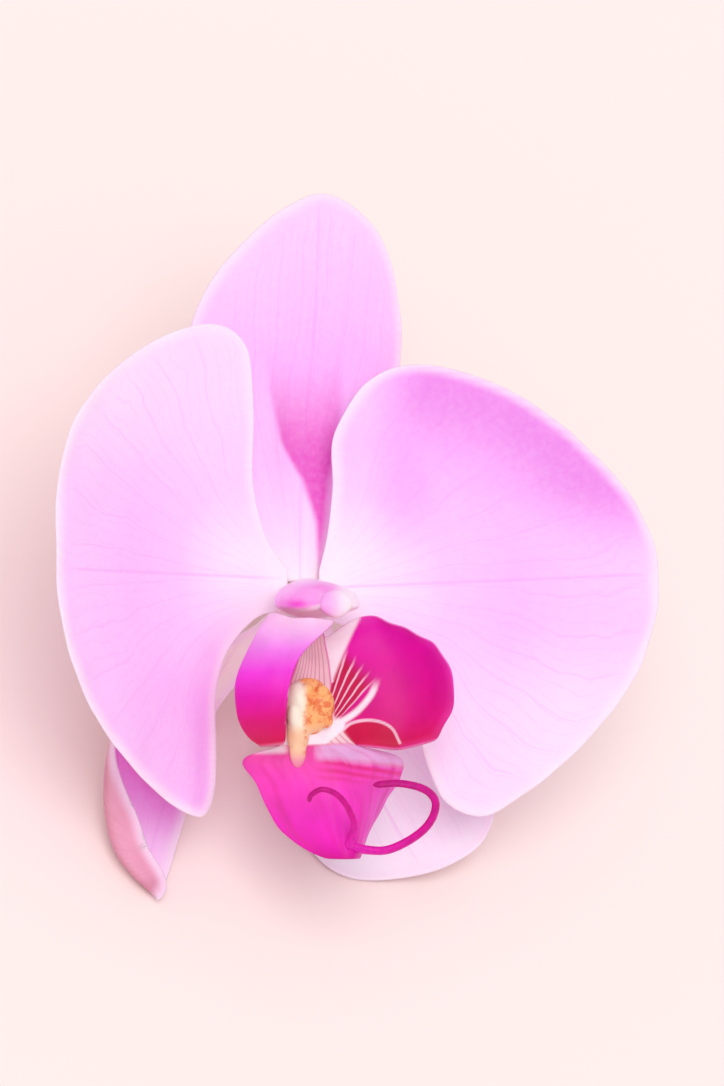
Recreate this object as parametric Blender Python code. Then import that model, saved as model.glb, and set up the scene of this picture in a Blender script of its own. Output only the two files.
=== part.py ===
"""A phalaenopsis orchid flower, picked with its stalk and lying face up on a flat surface.

Nine pieces: three sepals, two petals, the lip, the column, its anther cap, and the stalk that
thickens into the ovary behind the flower. Each is drawn in the flower's own frame, in millimetres:
X across the face, Y towards the upper sepal, Z out of the face, with the origin where the sepals,
petals and column meet. The whole flower is then laid down on the tips of its two lower sepals and
the cut end of the stalk, with its footprint centred on the origin.
"""

import math

import bmesh
import bpy
from mathutils import Matrix, Vector

MM = 0.001

# Thickness of the sheets.
SEPAL_THICK = 0.9
PETAL_THICK = 0.8
LIP_THICK = 1.0
LOBE_THICK = 0.8

# The column's neck stands on the ovary, and the claws of the sepals and petals stand round it.
JOINT_GAP = 0.32
NECK_RADIUS = 2.2
NECK_Y = -1.6
NECK_BASE_Z = -1.8
CLAW_REACH = NECK_RADIUS + 0.62
LATERAL_REACH = NECK_RADIUS + 0.85
LATERAL_ANGLE = math.radians(50.0)
LATERAL_X = LATERAL_REACH * math.cos(LATERAL_ANGLE)
LATERAL_Y = NECK_Y - LATERAL_REACH * math.sin(LATERAL_ANGLE)
CLAW_Y = -0.6
SEPAL_Z = -1.2
PETAL_Z = 0.1

# Mesh densities: rows run from claw to tip, columns across.
SHEET_ROWS = 17
SHEET_COLUMNS = 19
LOBE_ROWS = 8
LOBE_COLUMNS = 9
CURVE_STEPS = 12
TENDRIL_SIDES = 7
STALK_SIDES = 14
COLUMN_SIDES = 16
CAP_SIDES = 12
CAP_RINGS = 5

# Lying on its back: the lean of the face from upright that the resting search starts from.
START_LEAN = math.radians(60.0)
REST_ROUNDS = 8

# Outlines of the sheets laid flat: u runs out from the claw, v across it. The points go from the
# claw along side a (+v), round the tip, and back along side b (-v); "corners" are the two points
# where the sides meet the tip. "rise" is the slope out of the face and its change, "groove" a furrow's
# depth, half width and length, and "fold" the line along which side a turns over towards the front,
# with the fold's radius at the line's two ends and how far round it goes.
DORSAL_SEPAL = {
    "origin": (0.0, NECK_Y + CLAW_REACH, SEPAL_Z),
    "out": (0.0, 1.0, 0.0),
    "across": (1.0, 0.0, 0.0),
    "outline": [(0.0, 3.4), (5.0, 5.6), (12.0, 9.4), (19.0, 14.2), (27.0, 16.6), (36.5, 16.8),
                (44.8, 13.8), (48.9, 7.4), (47.6, 2.2), (43.6, -3.6), (38.0, -9.0),
                (31.5, -12.4), (24.0, -13.4), (17.0, -12.0), (10.0, -8.2), (5.0, -5.4), (0.0, -3.4)],
    "corners": (5, 10),
    "rise": (-0.15, -0.0003),
    "cross_bow": -0.008,
    "groove": (1.6, 3.0, 30.0),
}
PETAL_RIGHT = {
    "origin": (CLAW_REACH, CLAW_Y, PETAL_Z),
    "out": (1.0, 0.0, 0.0),
    "across": (0.0, 1.0, 0.0),
    "outline": [(0.0, 2.4), (0.9, 6.6), (1.5, 13.0), (1.7, 20.0), (5.6, 26.4), (11.2, 28.7), (18.0, 27.8),
                (25.0, 25.0), (31.6, 20.6), (37.4, 15.2), (41.4, 10.0), (43.4, 4.8), (43.6, -1.0),
                (42.4, -7.0), (39.2, -13.2), (33.8, -19.6), (28.0, -24.6), (21.4, -28.8), (15.6, -26.8),
                (12.8, -20.0), (11.0, -13.2), (7.6, -8.4), (3.6, -5.0), (0.0, -3.2)],
    "corners": (4, 16),
    "rise": (0.15, 0.0),
    "cross_bow": 0.0,
    "groove": 0.0,
}
PETAL_LEFT = {
    "origin": (-CLAW_REACH, CLAW_Y, PETAL_Z),
    "out": (-1.0, 0.0, 0.0),
    "across": (0.0, 1.0, 0.0),
    "outline": [(0.0, 2.4), (2.6, 6.8), (4.4, 13.6), (4.3, 22.6), (5.4, 31.0), (9.8, 33.6), (17.0, 32.2),
                (25.2, 28.0), (31.8, 22.4), (34.8, 16.0), (35.4, 7.6), (34.9, -1.8), (33.0, -8.6),
                (29.0, -15.6), (23.2, -21.6), (17.2, -26.2), (12.2, -28.6), (10.0, -25.6),
                (9.8, -19.6), (10.0, -13.8), (8.4, -8.0), (5.0, -4.2), (2.4, -2.8), (0.0, -2.4)],
    "corners": (4, 16),
    "rise": (0.12, 0.0078),
    "cross_bow": 0.0,
    "groove": 0.0,
}
LATERAL_LEFT = {
    "origin": (-LATERAL_X, LATERAL_Y, SEPAL_Z),
    "out": (-0.442, -0.897, 0.0),
    "across": (-0.897, 0.442, 0.0),
    "outline": [(0.0, 1.5), (4.0, 3.2), (8.0, 7.2), (14.0, 12.2), (20.0, 13.8), (26.0, 13.6), (32.0, 13.3),
                (36.4, 11.9), (40.2, 8.0), (42.0, 2.8), (41.2, 0.2), (38.4, -1.2),
                (34.0, -1.6), (28.0, -1.4), (21.0, 0.2), (14.0, 0.8), (8.0, 0.0), (4.0, -1.0), (0.0, -1.5)],
    "corners": (6, 11),
    "rise": (-0.72, 0.0166),
    "cross_bow": 0.0,
    "groove": 0.0,
    "fold": {
        "line": [(0.0, 14.0), (12.0, 12.6), (20.0, 11.2), (26.0, 9.9), (31.0, 8.0), (35.4, 5.0),
                 (38.3, -0.8), (39.3, -2.8)],
        "radius": (2.8, 0.8),
        "turn": math.radians(155.0),
    },
}
LATERAL_RIGHT = {
    "origin": (LATERAL_X, LATERAL_Y, SEPAL_Z),
    "out": (0.357, -0.934, 0.0),
    "across": (0.934, 0.357, 0.0),
    "outline": [(0.0, 1.5), (4.0, 2.8), (9.0, 6.2), (16.0, 11.0), (24.0, 15.2), (29.0, 16.4), (33.2, 15.2),
                (36.2, 11.6), (37.0, 6.0), (36.2, 0.4), (34.2, -4.8), (31.0, -7.8),
                (26.0, -8.6), (18.0, -7.2), (10.0, -4.6), (4.0, -2.4), (0.0, -1.5)],
    "corners": (6, 11),
    "rise": (-0.72, 0.0166),
    "cross_bow": 0.012,
    "groove": 0.0,
}

# The lip's floor from its claw to its tip: height y, middle x, depth z in the middle, half width, and
# depth z at the edge. It leans to one side down the throat, widens into two hooked shoulders and narrows
# again to the tip, with its sides swept back.
LIP_SECTIONS = [(-4.6, -0.2, 2.5, 1.7, 2.9), (-9.4, -1.2, 5.6, 2.6, 6.6), (-13.0, -2.5, 8.0, 3.6, 8.8),
                (-17.0, -3.0, 9.6, 4.6, 9.6), (-20.0, -1.8, 10.6, 6.6, 9.0), (-22.0, -0.4, 11.3, 10.8, 7.8),
                (-24.6, 0.2, 12.2, 9.6, 7.8), (-28.0, 0.4, 13.4, 7.8, 6.6), (-31.0, 0.3, 14.3, 5.8, 7.4),
                (-33.0, 0.2, 14.9, 3.9, 10.2), (-34.1, 0.3, 15.1, 2.2, 13.2)]
LIP_EDGE_POWER = 1.7
LIP_STEPS = 2

# The side lobes stand up from the floor between these rows, one column in from its edge. Their other
# edges are points from the back corner to the front, and "bulge" is how far they belly out at the
# back and at the foot.
LOBE_FOOT_ROWS = (1, 9)
BULGE_TOWARDS = (0.86, 0.0, -0.5)
BULGE_POWER = 0.6
LOBE_RIGHT = {
    "side": 1,
    "top": [(6.3, -3.9, 6.8), (12.2, -7.2, 14.0)],
    "front": [(12.2, -7.2, 14.0), (14.0, -10.6, 15.2), (14.1, -15.2, 15.2), (12.6, -19.4, 13.8)],
    "foot": [(8.5, -20.6, 10.8), (12.6, -19.4, 13.8)],
    "bulge": (2.2, 2.2),
}
LOBE_LEFT = {
    "side": -1,
    "top": [(-7.4, -3.5, 6.8), (-5.4, -4.1, 11.0), (-0.6, -4.4, 12.9)],
    "front": [(-0.6, -4.4, 12.9), (-5.2, -7.8, 14.0), (-7.6, -11.4, 14.8), (-8.2, -16.0, 14.8),
              (-7.6, -19.8, 12.8)],
    "foot": [(-9.4, -20.0, 9.6), (-7.6, -19.8, 12.8)],
    "bulge": (0.8, 3.4),
}
CALLUS_KNOBS = [((-4.6, -14.6, 10.45), (1.7, 2.6, 1.9)), ((-1.8, -14.8, 10.45), (1.8, 2.6, 1.9)),
                ((-4.9, -18.8, 11.0), (1.3, 3.0, 1.2))]
CALLUS_SEGMENTS = (10, 6)
TENDRIL_RIGHT = [(0.4, -32.0, 14.4), (2.6, -33.2, 15.0), (5.0, -33.1, 16.0), (7.4, -32.0, 17.0),
                 (9.3, -30.4, 18.0), (10.3, -28.6, 18.6), (10.3, -26.8, 18.9), (8.8, -25.4, 18.8),
                 (5.8, -24.7, 18.2), (2.6, -24.9, 17.2)]
TENDRIL_LEFT = [(-0.2, -32.6, 14.2), (0.2, -31.4, 16.0), (-0.1, -29.6, 17.4), (-1.4, -27.4, 18.4),
                (-3.0, -25.9, 18.8), (-4.8, -25.3, 18.6), (-6.0, -26.0, 18.0), (-6.1, -26.9, 17.4)]
TENDRIL_RADIUS = 0.62
TENDRIL_TAPER = 0.45

# The column from its neck to its hooded end: depth z, middle height y, half width, half height.
COLUMN_SECTIONS = [(NECK_BASE_Z, NECK_Y, NECK_RADIUS, NECK_RADIUS), (0.7, NECK_Y, NECK_RADIUS, NECK_RADIUS),
                   (2.2, -1.7, 3.8, 2.5), (4.2, -1.9, 5.2, 2.4), (7.2, -2.0, 5.3, 2.2),
                   (10.0, -2.1, 4.6, 2.0), (11.6, -2.2, 3.5, 1.6)]
COLUMN_LEAN = -0.1
COLUMN_HOLLOW = 0.85
HOLLOW_FROM_Z = 2.0
COLUMN_END_Z = COLUMN_SECTIONS[-1][0]
ANTHER_CENTRE = (-0.3, -2.2, COLUMN_END_Z + JOINT_GAP)
ANTHER_SIZE = (2.2, 1.4, 1.3)
ANTHER_DROOP = 0.4

# The stalk: its path from under the column to the cut end, and its radius along the way.
STALK_PATH = [(0.0, NECK_Y, NECK_BASE_Z - JOINT_GAP), (0.0, -1.6, -4.2), (0.0, -1.4, -9.0),
              (0.0, -0.6, -15.0), (0.0, 1.2, -21.0), (0.0, 4.2, -26.4), (0.0, 8.4, -30.6),
              (0.0, 11.4, -32.4)]
STALK_RADII = [2.3, 2.1, 1.9, 1.75, 1.65, 1.6, 1.6, 1.7]
STALK_RINGS = 22

COLOURS = {
    "sepal": (0.93, 0.62, 0.93),
    "petal": (0.96, 0.66, 0.97),
    "lip": (0.80, 0.05, 0.42),
    "column": (0.90, 0.45, 0.82),
    "anther": (0.95, 0.85, 0.88),
    "stalk": (0.33, 0.30, 0.10),
}


def clear_scene():
    for item in list(bpy.data.objects):
        bpy.data.objects.remove(item, do_unlink=True)


def plant_material(name, colour, roughness=0.45):
    material = bpy.data.materials.new(name)
    material.use_nodes = True
    shader = material.node_tree.nodes["Principled BSDF"]
    shader.inputs["Base Color"].default_value = (*colour, 1.0)
    shader.inputs["Roughness"].default_value = roughness
    shader.inputs["Metallic"].default_value = 0.0
    return material


def curve_through(points, steps=CURVE_STEPS):
    """A smooth curve through the points, with the given number of steps between each two."""
    knots = [Vector(point) for point in points]
    ends = [knots[0] * 2 - knots[1], knots[-1] * 2 - knots[-2]]
    padded = [ends[0], *knots, ends[1]]
    path = []
    for index in range(1, len(padded) - 2):
        before, start, end, after = padded[index - 1:index + 3]
        for step in range(steps):
            t = step / steps
            path.append(0.5 * (2 * start + (end - before) * t
                               + (2 * before - 5 * start + 4 * end - after) * t ** 2
                               + (3 * start - before - 3 * end + after) * t ** 3))
    path.append(knots[-1])
    return path


def spread(path, count):
    """The path again, with its points at even distances."""
    lengths = [0.0]
    for start, end in zip(path, path[1:]):
        lengths.append(lengths[-1] + (end - start).length)
    result = []
    segment = 0
    for index in range(count):
        target = lengths[-1] * index / (count - 1)
        while segment < len(path) - 2 and lengths[segment + 1] < target:
            segment += 1
        span = lengths[segment + 1] - lengths[segment]
        result.append(path[segment].lerp(path[segment + 1], (target - lengths[segment]) / span))
    return result


def blend_edges(near, far, side_a, side_b):
    """A patch of points between four edges: rows run from near to far, columns from side a to b."""
    rows = []
    for row, (start, end) in enumerate(zip(side_a, side_b)):
        t = row / (len(side_a) - 1)
        line = []
        for column, (low, high) in enumerate(zip(near, far)):
            s = column / (len(near) - 1)
            across = start.lerp(end, s)
            along = low.lerp(high, t)
            corners = near[0].lerp(near[-1], s).lerp(far[0].lerp(far[-1], s), t)
            line.append(across + along - corners)
        rows.append(line)
    return rows


def grid_object(name, rows, thickness, material):
    """A sheet through the rows of points, with its thickness half on each side."""
    sheet = bmesh.new()
    lines = [[sheet.verts.new(point * MM) for point in row] for row in rows]
    for lower, upper in zip(lines, lines[1:]):
        for index in range(len(lower) - 1):
            sheet.faces.new((lower[index], lower[index + 1], upper[index + 1], upper[index]))
    mesh = bpy.data.meshes.new(name)
    sheet.to_mesh(mesh)
    sheet.free()
    piece = add_object(name, mesh, material)
    solidify = piece.modifiers.new("Thickness", "SOLIDIFY")
    solidify.thickness = thickness * MM
    solidify.offset = 0.0
    solidify.use_quality_normals = True
    return piece


def add_object(name, data, material):
    piece = bpy.data.objects.new(name, data)
    bpy.context.collection.objects.link(piece)
    piece.data.materials.append(material)
    if hasattr(data, "shade_smooth"):
        data.shade_smooth()
    return piece


def folded(point, crease, radii, turn):
    """A point of the flat sheet after side a turns over along the crease: its place and its lift."""
    feet = []
    for start, end in zip(crease, crease[1:]):
        step = end - start
        share = min(max((point - start).dot(step) / step.length_squared, 0.0), 1.0)
        foot = start + step * share
        feet.append(((point - foot).length, foot, step))
    distance, foot, step = min(feet, key=lambda found: found[0])
    if step.cross(point - foot).z <= 0.0:
        return point, 0.0
    near, far = radii
    radius = near + (far - near) * foot.x / crease[-1].x
    angle = min(distance / radius, turn)
    past = distance - radius * angle
    sideways = radius * math.sin(angle) + past * math.cos(angle)
    lift = radius * (1.0 - math.cos(angle)) + past * math.sin(angle)
    return foot + (point - foot) * (sideways / distance), lift


def tepal(name, spec, thickness, material):
    """A sepal or petal: its flat outline filled with a patch, then bent and set at its claw."""
    outline = [(u, v, 0.0) for u, v in spec["outline"]]
    path = curve_through(outline)
    first, second = (corner * CURVE_STEPS for corner in spec["corners"])
    side_a = spread(path[:first + 1], SHEET_ROWS)
    tip = spread(path[first:second + 1], SHEET_COLUMNS)
    side_b = spread(path[:second - 1:-1], SHEET_ROWS)
    claw = [side_a[0].lerp(side_b[0], index / (SHEET_COLUMNS - 1)) for index in range(SHEET_COLUMNS)]
    fold = spec.get("fold")
    crease = curve_through([(u, v, 0.0) for u, v in fold["line"]]) if fold else []
    rows = []
    for line in blend_edges(claw, tip, side_a, side_b):
        row = []
        for point in line:
            point, height = folded(point, crease, fold["radius"], fold["turn"]) if fold else (point, 0.0)
            row.append(bent(point, height, spec))
        rows.append(row)
    return grid_object(name, rows, thickness, material)


def bent(point, height, spec):
    """A point of the flat sheet, at a height over it, on the curved sheet set at its claw."""
    u, v, _ = point
    slope, arch = spec["rise"]
    height += slope * u + arch * u ** 2 + spec["cross_bow"] * v ** 2
    if spec["groove"]:
        depth, half_width, length = spec["groove"]
        height -= depth * math.exp(-(v / half_width) ** 2) * math.sin(math.pi * min(u / length, 1.0))
    place = Vector(spec["origin"]) + Vector(spec["out"]) * u + Vector(spec["across"]) * v
    return place + Vector((0.0, 0.0, height))


def lip_floor_rows():
    """Rows of points across the lip's floor, from the claw to the tip."""
    middles = curve_through([(x, y, depth) for y, x, depth, *_ in LIP_SECTIONS], LIP_STEPS)
    sides = curve_through([(half_width, edge, 0.0) for *_, half_width, edge in LIP_SECTIONS], LIP_STEPS)
    rows = []
    for middle, side in zip(middles, sides):
        row = []
        for column in range(LOBE_COLUMNS):
            s = 2.0 * column / (LOBE_COLUMNS - 1) - 1.0
            depth = middle.z + (side.y - middle.z) * abs(s) ** LIP_EDGE_POWER
            row.append(Vector((middle.x + s * side.x, middle.y, depth)))
        rows.append(row)
    return rows


def side_lobe(name, spec, floor, material):
    """A side lobe: a patch from the edge of the floor to the free edge, bulging outwards."""
    column = -2 if spec["side"] > 0 else 1
    first, last = LOBE_FOOT_ROWS
    foot_line = [row[column] for row in floor[first:last]]
    base = spread(foot_line, LOBE_COLUMNS)
    top = spread(curve_through([foot_line[0], *spec["top"]]), LOBE_ROWS)
    foot = spread(curve_through([foot_line[-1], *spec["foot"]]), LOBE_ROWS)
    front = spread(curve_through(spec["front"]), LOBE_COLUMNS)
    rows = blend_edges(base, front, top, foot)
    outward = Vector(BULGE_TOWARDS)
    outward.x *= spec["side"]
    at_back, at_foot = spec["bulge"]
    for row_index, row in enumerate(rows):
        t = row_index / (LOBE_ROWS - 1)
        for column_index, point in enumerate(row):
            s = column_index / (LOBE_COLUMNS - 1)
            bulge = (at_back + (at_foot - at_back) * s) * math.sin(math.pi * s) ** BULGE_POWER
            point += outward * bulge * math.sin(math.pi * t)
    return grid_object(name, rows, LOBE_THICK, material)


def callus_knob(name, centre, size, material):
    knob = bmesh.new()
    around, down = CALLUS_SEGMENTS
    bmesh.ops.create_uvsphere(knob, u_segments=around, v_segments=down, radius=1.0)
    place = Matrix.Translation(Vector(centre) * MM) @ Matrix.Diagonal((*(Vector(size) * MM), 1.0))
    bmesh.ops.transform(knob, matrix=place, verts=knob.verts)
    mesh = bpy.data.meshes.new(name)
    knob.to_mesh(mesh)
    knob.free()
    return add_object(name, mesh, material)


def tube(name, path, radii, sides, material):
    """A round tube along the path, with a radius at each point and flat ends."""
    rings = []
    side = Vector((1.0, 0.0, 0.0))
    for index, (place, radius) in enumerate(zip(path, radii)):
        ahead = (path[min(index + 1, len(path) - 1)] - path[max(index - 1, 0)]).normalized()
        side = (side - ahead * side.dot(ahead)).normalized()
        up = ahead.cross(side)
        angles = [2.0 * math.pi * turn / sides for turn in range(sides)]
        rings.append([place + (side * math.cos(angle) + up * math.sin(angle)) * radius for angle in angles])
    return skin_rings(name, rings, material)


def tendril(name, points, material):
    path = spread(curve_through(points), 2 * len(points))
    radii = [TENDRIL_RADIUS * (1.0 - TENDRIL_TAPER * index / (len(path) - 1)) for index in range(len(path))]
    return tube(name, path, radii, TENDRIL_SIDES, material)


def unite(piece, others):
    """Joins the others into the piece as one solid and hides them."""
    for other in others:
        union = piece.modifiers.new("Join " + other.name, "BOOLEAN")
        union.operation = "UNION"
        union.solver = "EXACT"
        union.object = other
        other.hide_render = True
        other.display_type = "WIRE"


def build_lip(material):
    floor = lip_floor_rows()
    lip = grid_object("lip", floor, LIP_THICK, material)
    others = [side_lobe("lobe_shape_right", LOBE_RIGHT, floor, material),
              side_lobe("lobe_shape_left", LOBE_LEFT, floor, material),
              tendril("tendril_shape_right", TENDRIL_RIGHT, material),
              tendril("tendril_shape_left", TENDRIL_LEFT, material)]
    for index, (centre, size) in enumerate(CALLUS_KNOBS):
        others.append(callus_knob(f"callus_shape_{index}", centre, size, material))
    unite(lip, others)
    return [lip, *others]


def skin_rings(name, rings, material):
    """A closed body through rings of equal point count."""
    body = bmesh.new()
    loops = [[body.verts.new(point * MM) for point in ring] for ring in rings]
    for lower, upper in zip(loops, loops[1:]):
        for index in range(len(lower)):
            after = (index + 1) % len(lower)
            body.faces.new((lower[index], lower[after], upper[after], upper[index]))
    body.faces.new(list(reversed(loops[0])))
    body.faces.new(loops[-1])
    mesh = bpy.data.meshes.new(name)
    body.to_mesh(mesh)
    body.free()
    return add_object(name, mesh, material)


def build_column(material):
    """The column: round at the neck, broad and hollowed underneath towards its hooded end."""
    rings = []
    for depth, middle, half_width, half_height in COLUMN_SECTIONS:
        ring = []
        for index in range(COLUMN_SIDES):
            angle = 2.0 * math.pi * index / COLUMN_SIDES
            height = math.sin(angle) * half_height
            if height < 0.0 and depth > HOLLOW_FROM_Z:
                height *= COLUMN_HOLLOW
            lean = COLUMN_LEAN * max(depth, 0.0)
            ring.append(Vector((lean + math.cos(angle) * half_width, middle + height, depth)))
        rings.append(ring)
    return skin_rings("column", rings, material)


def build_anther_cap(material):
    """A small cap with a blunt beak, flat where it faces the column's end."""
    centre = Vector(ANTHER_CENTRE)
    rings = []
    for ring_index in range(CAP_RINGS):
        angle = 0.5 * math.pi * ring_index / CAP_RINGS
        ring = []
        for index in range(CAP_SIDES):
            turn = 2.0 * math.pi * index / CAP_SIDES
            reach = math.cos(angle)
            height = math.sin(turn) * ANTHER_SIZE[1] * reach
            ring.append(centre + Vector((math.cos(turn) * ANTHER_SIZE[0] * reach,
                                         height - ANTHER_DROOP * math.sin(angle),
                                         ANTHER_SIZE[2] * math.sin(angle))))
        rings.append(ring)
    return skin_rings("anther_cap", rings, material)


def build_stalk(material):
    path = spread(curve_through(STALK_PATH), STALK_RINGS)
    sizes = curve_through([(index, radius, 0.0) for index, radius in enumerate(STALK_RADII)])
    radii = [size.y for size in spread(sizes, STALK_RINGS)]
    return tube("pedicel", path, radii, STALK_SIDES, material)


def world_points(piece):
    view = piece.evaluated_get(bpy.context.evaluated_depsgraph_get())
    mesh = view.to_mesh()
    points = [view.matrix_world @ vertex.co for vertex in mesh.vertices]
    view.to_mesh_clear()
    return points


def resting_rotation(feet):
    """Turns the flower onto the plane through the lowest point of each of its three feet."""
    turn = Matrix.Rotation(math.pi / 2 - START_LEAN, 3, "X")
    for _ in range(REST_ROUNDS):
        lows = [min(points, key=lambda point: (turn @ point).z) for points in feet]
        up = (lows[1] - lows[0]).cross(lows[2] - lows[0]).normalized()
        if (turn @ up).z < 0.0:
            up.negate()
        right = Vector((1.0, 0.0, 0.0))
        right = (right - up * right.dot(up)).normalized()
        turn = Matrix((right, up.cross(right), up))
    return turn


def lay_down(pieces, feet):
    """Parents every piece to one empty that lays the flower on the ground, centred on the origin."""
    turn = resting_rotation([world_points(foot) for foot in feet])
    points = [turn @ point for piece in pieces for point in world_points(piece) if not piece.hide_render]
    lows = [min(point[axis] for point in points) for axis in range(3)]
    highs = [max(point[axis] for point in points) for axis in range(3)]
    frame = bpy.data.objects.new("flower", None)
    bpy.context.collection.objects.link(frame)
    frame.rotation_euler = turn.to_euler()
    frame.location = (-(lows[0] + highs[0]) / 2, -(lows[1] + highs[1]) / 2, -lows[2])
    for piece in pieces:
        piece.parent = frame


def main():
    clear_scene()
    sepal = plant_material("sepal", COLOURS["sepal"])
    petal = plant_material("petal", COLOURS["petal"])
    left = tepal("lateral_sepal_left", LATERAL_LEFT, SEPAL_THICK, sepal)
    right = tepal("lateral_sepal_right", LATERAL_RIGHT, SEPAL_THICK, sepal)
    stalk = build_stalk(plant_material("stalk", COLOURS["stalk"]))
    pieces = [left, right, stalk]
    pieces.append(tepal("dorsal_sepal", DORSAL_SEPAL, SEPAL_THICK, sepal))
    pieces.append(tepal("petal_left", PETAL_LEFT, PETAL_THICK, petal))
    pieces.append(tepal("petal_right", PETAL_RIGHT, PETAL_THICK, petal))
    pieces.append(build_column(plant_material("column", COLOURS["column"])))
    pieces.append(build_anther_cap(plant_material("anther", COLOURS["anther"], 0.35)))
    pieces.extend(build_lip(plant_material("lip", COLOURS["lip"], 0.35)))
    lay_down(pieces, [left, right, stalk])


main()
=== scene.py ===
import math
from functools import partial

import bpy
import numpy as np
from mathutils import Euler, Matrix, Vector


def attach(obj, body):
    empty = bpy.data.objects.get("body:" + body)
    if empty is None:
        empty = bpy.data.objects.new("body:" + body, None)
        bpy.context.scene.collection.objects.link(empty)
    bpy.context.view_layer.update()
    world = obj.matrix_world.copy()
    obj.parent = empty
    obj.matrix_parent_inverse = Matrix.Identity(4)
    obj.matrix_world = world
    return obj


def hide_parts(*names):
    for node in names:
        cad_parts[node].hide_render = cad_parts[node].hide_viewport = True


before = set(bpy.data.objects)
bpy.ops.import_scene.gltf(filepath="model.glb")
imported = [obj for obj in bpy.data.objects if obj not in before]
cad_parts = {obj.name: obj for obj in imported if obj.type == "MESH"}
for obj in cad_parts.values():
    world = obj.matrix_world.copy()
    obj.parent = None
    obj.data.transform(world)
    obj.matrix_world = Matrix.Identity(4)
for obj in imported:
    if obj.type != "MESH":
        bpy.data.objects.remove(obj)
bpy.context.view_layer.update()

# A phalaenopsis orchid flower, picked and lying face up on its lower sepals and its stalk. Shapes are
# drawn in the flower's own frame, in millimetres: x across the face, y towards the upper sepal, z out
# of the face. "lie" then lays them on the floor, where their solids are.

mm = 0.001

lie = {"tilt": 29.792, "roll": -1.902, "shift": (-3.700, -5.586, 24.132)}
lieMatrix = (Matrix.Translation(Vector(lie["shift"]) * mm)
             @ Euler((math.radians(lie["tilt"]), math.radians(lie["roll"]), 0.0)).to_matrix().to_4x4())

# Where the claws of the sepals and petals stand round the column's neck.
joint = {"neckY": -1.6, "clawReach": 2.82, "lateralReach": 3.05, "lateralAngle": 50.0, "clawY": -0.6,
         "sepalZ": -1.2, "petalZ": 0.1, "clawTuck": 0.55}
lateralX, lateralY = (part(math.radians(joint["lateralAngle"])) * joint["lateralReach"]
                      for part in (math.cos, math.sin))

curveSteps = 24  # steps from one point of a drawn curve to the next


def say(text):
    print("orchid:", text, flush=True)


def curveThrough(points, steps=curveSteps):
    knots = np.array(points, dtype=float)
    padded = np.vstack([2 * knots[0] - knots[1], knots, 2 * knots[-1] - knots[-2]])
    path = []
    for index in range(1, len(padded) - 2):
        before, start, end, after = padded[index - 1:index + 3]
        for t in np.arange(steps) / steps:
            path.append(0.5 * (2 * start + (end - before) * t
                               + (2 * before - 5 * start + 4 * end - after) * t ** 2
                               + (3 * start - before - 3 * end + after) * t ** 3))
    path.append(knots[-1])
    return np.array(path)


def spread(path, count):
    steps = np.linalg.norm(np.diff(path, axis=0), axis=1)
    along = np.concatenate([[0.0], np.cumsum(steps)])
    places = np.linspace(0.0, along[-1], count)
    return np.stack([np.interp(places, along, path[:, axis]) for axis in range(path.shape[1])], axis=1)


# Fills four edges: rows run from near to far, columns from side a to side b.
def blendEdges(near, far, sideA, sideB):
    s = np.linspace(0.0, 1.0, len(near))[None, :, None]
    t = np.linspace(0.0, 1.0, len(sideA))[:, None, None]
    across = sideA[:, None] * (1 - s) + sideB[:, None] * s
    along = near[None] * (1 - t) + far[None] * t
    corners = (near[0] * (1 - s) + near[-1] * s) * (1 - t) + (far[0] * (1 - s) + far[-1] * s) * t
    return across + along - corners


def smooth(low, high, value):
    t = np.clip((value - low) / (high - low), 0.0, 1.0)
    return t * t * (3 - 2 * t)


def bump(value, centre, width):
    return np.exp(-((value - centre) / width) ** 2)


# A gentle rolling height of a few crossed waves, each about the given length in millimetres.
def rolling(u, v, length, seed):
    rng = np.random.default_rng(seed)
    total = np.zeros_like(u)
    for wave in range(6):
        angle = rng.uniform(0, 2 * math.pi)
        pace = 2 * math.pi / (length * rng.uniform(0.7, 1.5))
        total += np.sin((u * math.cos(angle) + v * math.sin(angle)) * pace + rng.uniform(0, 2 * math.pi))
    return total / 6 ** 0.5


def gridQuads(index):
    corners = [index[:-1, :-1], index[:-1, 1:], index[1:, 1:], index[1:, :-1]]
    return np.stack(corners, axis=-1).reshape(-1, 4)


def pointNormals(points, quads):
    flat = np.cross(points[quads[:, 2]] - points[quads[:, 0]], points[quads[:, 3]] - points[quads[:, 1]])
    normals = np.zeros_like(points)
    for corner in range(4):
        np.add.at(normals, quads[:, corner], flat)
    return normals / np.maximum(np.linalg.norm(normals, axis=1, keepdims=True), 1e-9)


def borderEdges(quads):
    edges = {}
    for quad in quads.tolist():
        for start, end in zip(quad, quad[1:] + quad[:1]):
            if (end, start) in edges:
                del edges[(end, start)]
            else:
                edges[(start, end)] = True
    return list(edges)


# Evens out a sheet; its border moves only along itself, which rounds the border's corners.
def relax(points, quads, rounds, strength=0.5):
    pairs = np.vstack([quads[:, (0, 1)], quads[:, (1, 2)], quads[:, (2, 3)], quads[:, (3, 0)]])
    border = np.array(borderEdges(quads))
    onBorder = np.zeros(len(points), dtype=bool)
    onBorder[border.ravel()] = True
    inner = pairs[~onBorder[pairs[:, 0]]]
    inner = np.vstack([inner, pairs[~onBorder[pairs[:, 1]]][:, ::-1]])
    links = np.vstack([inner, border, border[:, ::-1]])
    count = np.bincount(links[:, 0], minlength=len(points))[:, None]
    for step in range(rounds):
        total = np.stack([np.bincount(links[:, 0], points[links[:, 1], axis], len(points))
                          for axis in range(points.shape[1])], axis=1)
        points = points + (total / np.maximum(count, 1) - points) * strength
    return points


def borderDistance(points, quads):
    border = points[np.unique(np.array(borderEdges(quads)).ravel())]
    return np.concatenate([np.sqrt(((chunk[:, None] - border[None]) ** 2).sum(2).min(1))
                           for chunk in np.array_split(points, 40)])


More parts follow.
